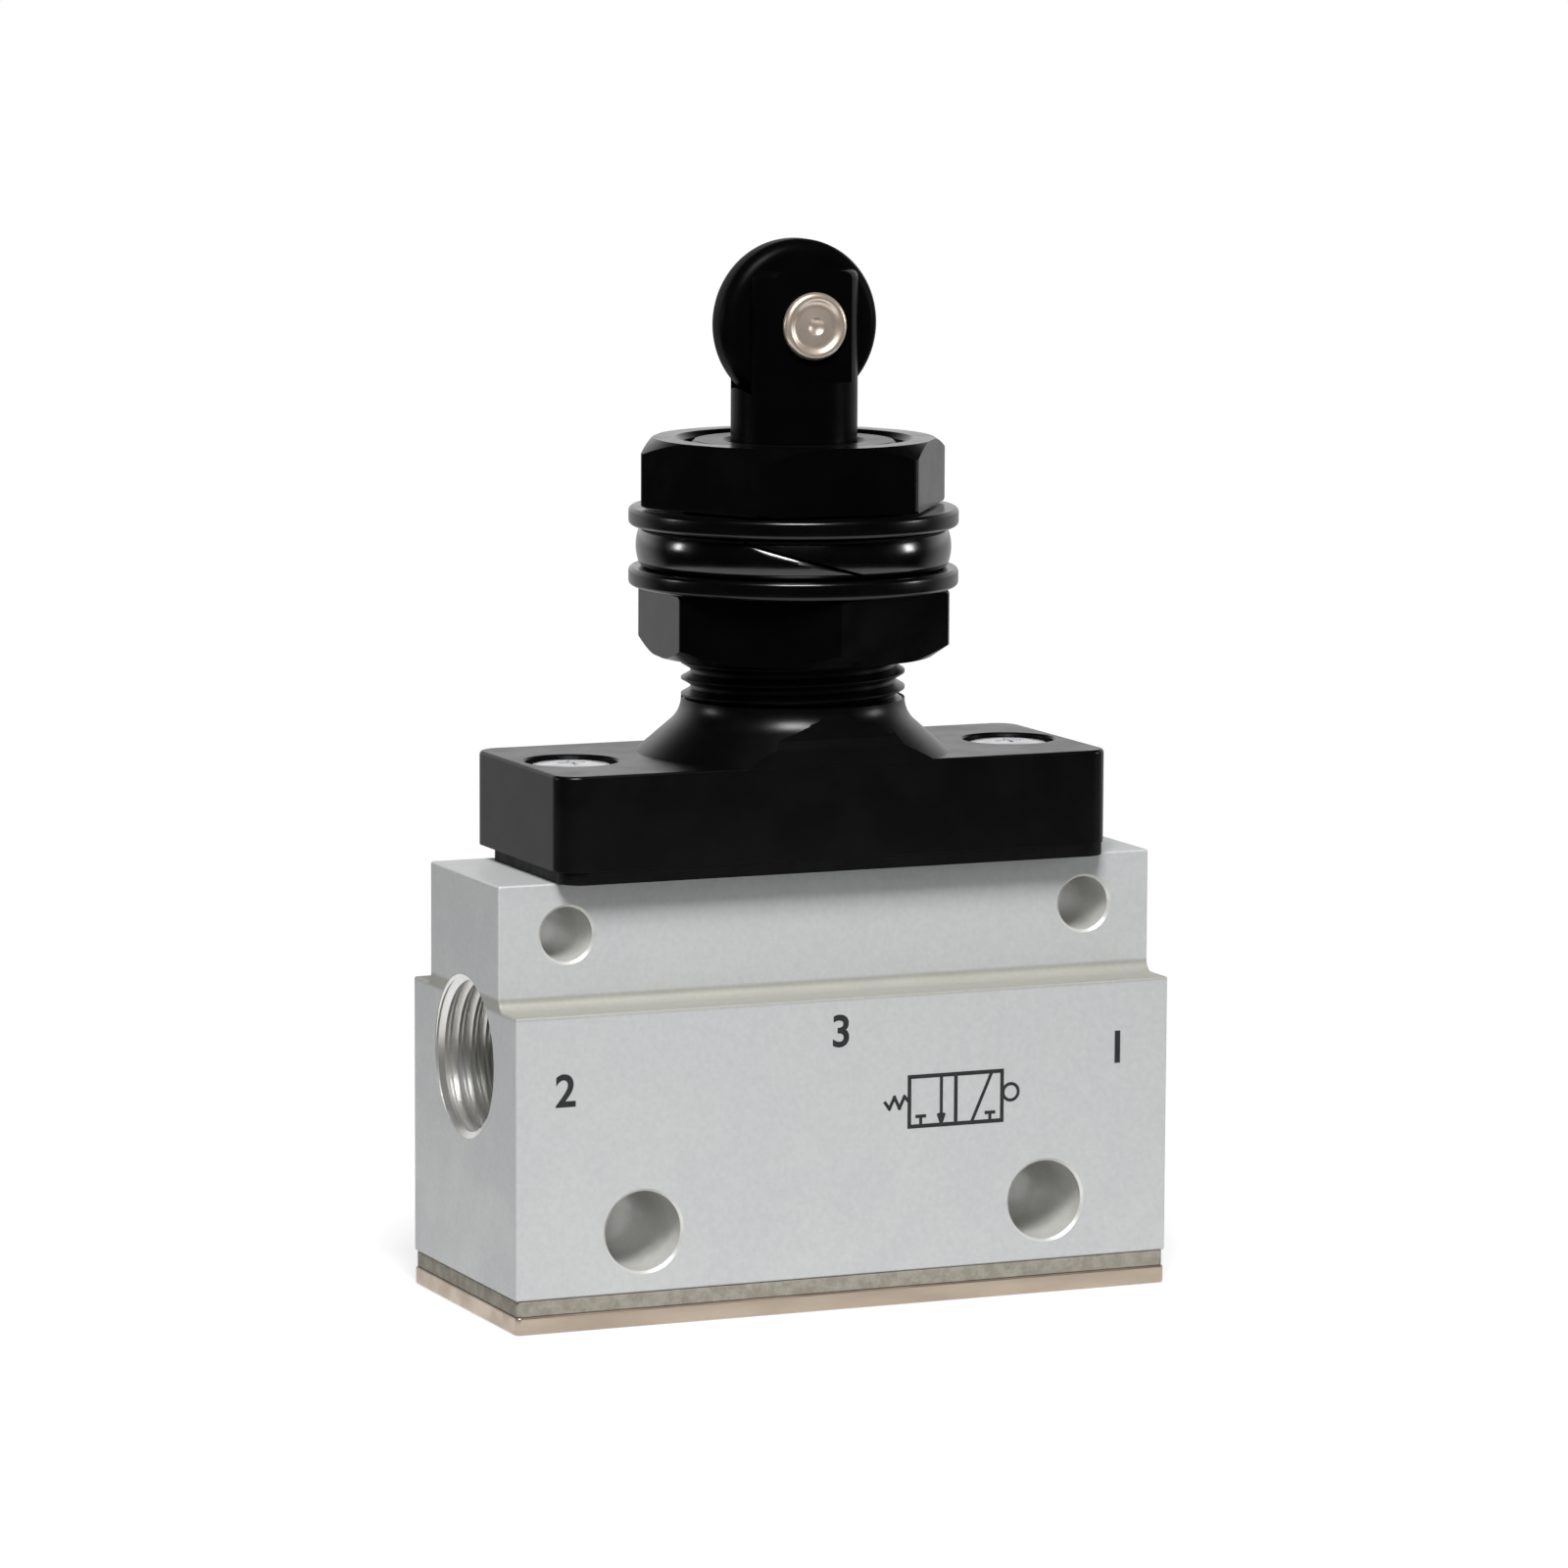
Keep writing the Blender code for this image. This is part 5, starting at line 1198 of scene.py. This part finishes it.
class VALVE_OT_plunger(Operator):
    """Make the plunger with the fork that carries the roller"""
    bl_idname = "valve.make_plunger"
    bl_label = "Plunger"

    def execute(self, context):
        sizes = context.scene.valve_plunger_sizes
        base, top = PLUNGER_LOW.z, PLUNGER_HIGH.z
        level = ROLLER_CENTRE.z
        seal_low, seal_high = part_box("rod_seal")
        flange_top = seal_low.z - 0.30 * MM
        flange = [
            (0.0, base), (2.0 * MM, base), (2.2 * MM, base + 0.2 * MM), (2.2 * MM, flange_top - 2.0 * MM),
            (4.9 * MM, flange_top - 2.0 * MM), (4.9 * MM, flange_top), (sizes.rod, flange_top),
        ]
        rim = arc((sizes.rod - sizes.top_edge, top - sizes.top_edge), sizes.top_edge, 0.0, 90.0, 6)
        rod = turned(flange + rim + [(0.0, top)], 112)
        wide = sizes.rod + CUT_MARGIN
        flat = sizes.fork_depth / 2
        steps = []
        for sign in (-1.0, 1.0):
            near, far = sorted((sign * flat, sign * wide))
            steps.append(("DIFFERENCE", block((-wide, near, level - 3.5 * MM), (wide, far, top + CUT_MARGIN)), 0))
        half_slot = sizes.slot / 2
        slot_foot = level - (ROLLER_HIGH.z - ROLLER_LOW.z) / 2 - 0.30 * MM
        reach = level - slot_foot
        slot = arc((0.0, 0.0), reach, 180.0, 360.0, 48)
        slot += [(reach, top + CUT_MARGIN - level), (-reach, top + CUT_MARGIN - level)]
        steps.append(("DIFFERENCE", extruded(slot, sizes.slot, FACING_FRONT, (0.0, half_slot, level)), 0))
        place = (0.0, -wide, level)
        steps.append(("DIFFERENCE", drill(sizes.pin + 0.12 * MM, 2 * wide, 48, ALONG_Y, place), 0))
        bm = shaped(rod, steps)
        bmesh.ops.dissolve_limit(
            bm, angle_limit=math.radians(0.5), use_dissolve_boundaries=False, verts=bm.verts, edges=bm.edges,
            delimit=set())
        fork = [e for e in sharp_edges(bm, 55.0) if min(v.co.z for v in e.verts) > slot_foot - 0.1 * MM
                and max(Vector((v.co.x, 0.0, v.co.z - level)).length for v in e.verts) > sizes.pin + 0.4 * MM]
        break_edges(bm, fork, sizes.edge, 2)
        add_piece("forked_plunger", bm, "plunger", ["roller_plunger"], ["black_plunger"])
        return {"FINISHED"}


class VALVE_OT_roller(Operator):
    """Make the roller and the riveted pin that it turns on"""
    bl_idname = "valve.make_roller"
    bl_label = "Roller and pin"

    def execute(self, context):
        sizes = context.scene.valve_plunger_sizes
        half = (ROLLER_HIGH.y - ROLLER_LOW.y) / 2
        radius = (ROLLER_HIGH.z - ROLLER_LOW.z) / 2
        edge = sizes.roller_edge
        bore = sizes.pin + 0.2 * MM
        hub = 3.0 * MM
        dish = 0.15 * MM
        profile = [(bore, -half + dish), (hub, -half + dish), (hub + dish, -half)]
        profile += arc((radius - edge, -half + edge), edge, -90.0, 0.0, 6)
        profile += arc((radius - edge, half - edge), edge, 0.0, 90.0, 6)
        profile += [(hub + dish, half), (hub, half - dish), (bore, half - dish)]
        wheel = turned(profile, 144, ALONG_Y, ROLLER_CENTRE)
        add_piece("black_roller", wheel, "roller", ["roller"], ["black_nylon"])
        reach = 3.03 * MM
        end = PIN_HIGH.y
        head = sizes.pin_head
        half_pin = [(sizes.pin, reach), (head - 0.05 * MM, reach), (head, reach + 0.05 * MM)]
        half_pin += arc((head - 0.30 * MM, end - 0.30 * MM), 0.30 * MM, 0.0, 120.0, 9)
        half_pin += arc((1.22 * MM, end + 0.42 * MM), 0.62 * MM, 310.0, 262.0, 8)
        half_pin += arc((0.0, end + 0.55 * MM), 0.85 * MM, 310.0, 270.0, 9)
        other_half = [(r, -h) for r, h in reversed(half_pin)]
        pin = turned(other_half + half_pin, 72, ALONG_Y, ROLLER_CENTRE)
        add_piece("riveted_roller_pin", pin, "plunger", ["roller_pin"], ["pin_steel"])
        return {"FINISHED"}


INK_DEPTH = 0.012 * MM
MARK_HEIGHT = 2.05 * MM
NUMBERS = (("2", "outlet", -18.76, 14.99), ("3", "exhaust", -0.47, 17.53), ("1", "supply", 18.52, 15.34))


def printed_number(text, x, z):
    """A plain numeral as a thin layer of ink on the front face."""
    curve = bpy.data.curves.new("numeral", "FONT")
    curve.body = text
    curve.extrude = 0.5
    curve.offset = 0.018
    curve.resolution_u = 6
    writing = bpy.data.objects.new("numeral", curve)
    bpy.context.scene.collection.objects.link(writing)
    graph = bpy.context.evaluated_depsgraph_get()
    drawn = writing.evaluated_get(graph)
    bm = bmesh.new()
    bm.from_mesh(drawn.to_mesh())
    drawn.to_mesh_clear()
    bpy.data.objects.remove(writing)
    bpy.data.curves.remove(curve)
    bmesh.ops.remove_doubles(bm, verts=bm.verts, dist=1e-5)
    low = Vector([min(v.co[axis] for v in bm.verts) for axis in range(3)])
    high = Vector([max(v.co[axis] for v in bm.verts) for axis in range(3)])
    moved(bm, -(low + high) / 2)
    across = MARK_HEIGHT / (high.y - low.y)
    bmesh.ops.scale(bm, vec=(across, across, 2 * INK_DEPTH / (high.z - low.z)), verts=bm.verts)
    turn = Matrix.Translation((x * MM, BODY_LOW.y, z * MM)) @ FACING_FRONT
    bmesh.ops.transform(bm, matrix=turn, verts=bm.verts)
    bmesh.ops.recalc_face_normals(bm, faces=bm.faces)
    return bm


def ink_line(start, end, width):
    """A straight printed line between two points of the front face, in millimetres."""
    start = Vector((start[0], start[1])) * MM
    end = Vector((end[0], end[1])) * MM
    along = end - start
    bm = block((-along.length / 2 - width / 2, -width / 2, -INK_DEPTH), (along.length / 2 + width / 2, width / 2, INK_DEPTH))
    middle = (start + end) / 2
    turn = Matrix.Rotation(math.atan2(along.y, along.x), 4, "Z")
    place = Matrix.Translation((middle.x, BODY_LOW.y, middle.y)) @ FACING_FRONT @ turn
    bmesh.ops.transform(bm, matrix=place, verts=bm.verts)
    return bm


def valve_symbol():
    """The standard sign for a spring-returned, roller-worked 3/2 valve."""
    left, middle, right, low, high = 4.20, 7.37, 10.54, 11.20, 14.33
    stroke = 0.25 * MM
    thin = 0.21 * MM
    lines = [
        ((left, low), (right, low), stroke), ((left, high), (right, high), stroke),
        ((left, low), (left, high), stroke), ((right, low), (right, high), stroke),
        ((middle, low), (middle, high), stroke),
        ((6.38, low), (6.38, high), thin), ((8.45, low), (9.85, high), thin),
        ((6.38, low + 0.10), (6.20, low + 0.62), thin), ((6.38, low + 0.10), (6.56, low + 0.62), thin),
        ((4.98, low), (4.98, low + 0.62), thin), ((4.72, low + 0.62), (5.24, low + 0.62), thin),
        ((9.72, low), (9.72, low + 0.55), thin), ((9.46, low + 0.55), (9.98, low + 0.55), thin),
    ]
    spring = [(4.20, 12.75), (3.86, 13.12), (3.52, 12.42), (3.18, 13.12), (2.84, 12.42), (2.56, 12.80)]
    lines += [(a, b, thin) for a, b in zip(spring, spring[1:])]
    first, *rest = [ink_line(*line) for line in lines]
    ring_bm = turned([(0.42 * MM, -INK_DEPTH), (0.62 * MM, -INK_DEPTH), (0.62 * MM, INK_DEPTH), (0.42 * MM, INK_DEPTH)],
                     48, FACING_FRONT, (11.14 * MM, BODY_LOW.y, 12.95 * MM))
    return shaped(first, [("UNION", bm, 0) for bm in rest + [ring_bm]])


class VALVE_OT_marks(Operator):
    """Print the plain port numbers and the valve symbol on the front face"""
    bl_idname = "valve.make_marks"
    bl_label = "Printed marks"

    def execute(self, context):
        for text, port, x, z in NUMBERS:
            add_piece("number_" + port, printed_number(text, x, z), "valve", [], ["printed_ink"])
        add_piece("valve_symbol", valve_symbol(), "valve", [], ["printed_ink"])
        return {"FINISHED"}


INNER_FINISHES = {
    "turned_brass": ("spring_seat", "poppet", "chamber_bush", "stem_guide", "plunger_bush"),
    "spring_wire": ("poppet_spring", "plunger_spring", "valve_stem"),
    "black_rubber": ("poppet_seal", "stem_seal", "rod_seal"),
}


class VALVE_OT_inner_parts(Operator):
    """Give the pieces inside the valve their finishes"""
    bl_idname = "valve.finish_inner_parts"
    bl_label = "Inner parts"

    def execute(self, context):
        for finish, names in INNER_FINISHES.items():
            for name in names:
                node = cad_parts[name]
                for slot in node.material_slots:
                    slot.material = get_finish(finish)
        return {"FINISHED"}


MAKERS = (
    VALVE_OT_stage, VALVE_OT_body, VALVE_OT_bottom, VALVE_OT_cap, VALVE_OT_cap_screws, VALVE_OT_nuts,
    VALVE_OT_washers, VALVE_OT_spring_washer, VALVE_OT_plunger, VALVE_OT_roller, VALVE_OT_marks,
    VALVE_OT_inner_parts,
)


class VALVE_PT_panel(Panel):
    """Buttons that build the valve piece by piece"""
    bl_idname = "VALVE_PT_panel"
    bl_label = "Roller plunger valve"
    bl_space_type = "VIEW_3D"
    bl_region_type = "UI"
    bl_category = "Valve"

    def draw(self, context):
        for maker in MAKERS:
            self.layout.operator(maker.bl_idname)


def register():
    for name, group in SETTINGS.items():
        bpy.utils.register_class(group)
        setattr(bpy.types.Scene, name, PointerProperty(type=group))
    for maker in MAKERS:
        bpy.utils.register_class(maker)
    bpy.utils.register_class(VALVE_PT_panel)


def unregister():
    bpy.utils.unregister_class(VALVE_PT_panel)
    for maker in reversed(MAKERS):
        bpy.utils.unregister_class(maker)
    for name, group in SETTINGS.items():
        delattr(bpy.types.Scene, name)
        bpy.utils.unregister_class(group)


def main():
    register()
    for maker in MAKERS:
        category, action = maker.bl_idname.split(".")
        getattr(getattr(bpy.ops, category), action)()


if __name__ == "__main__":
    main()
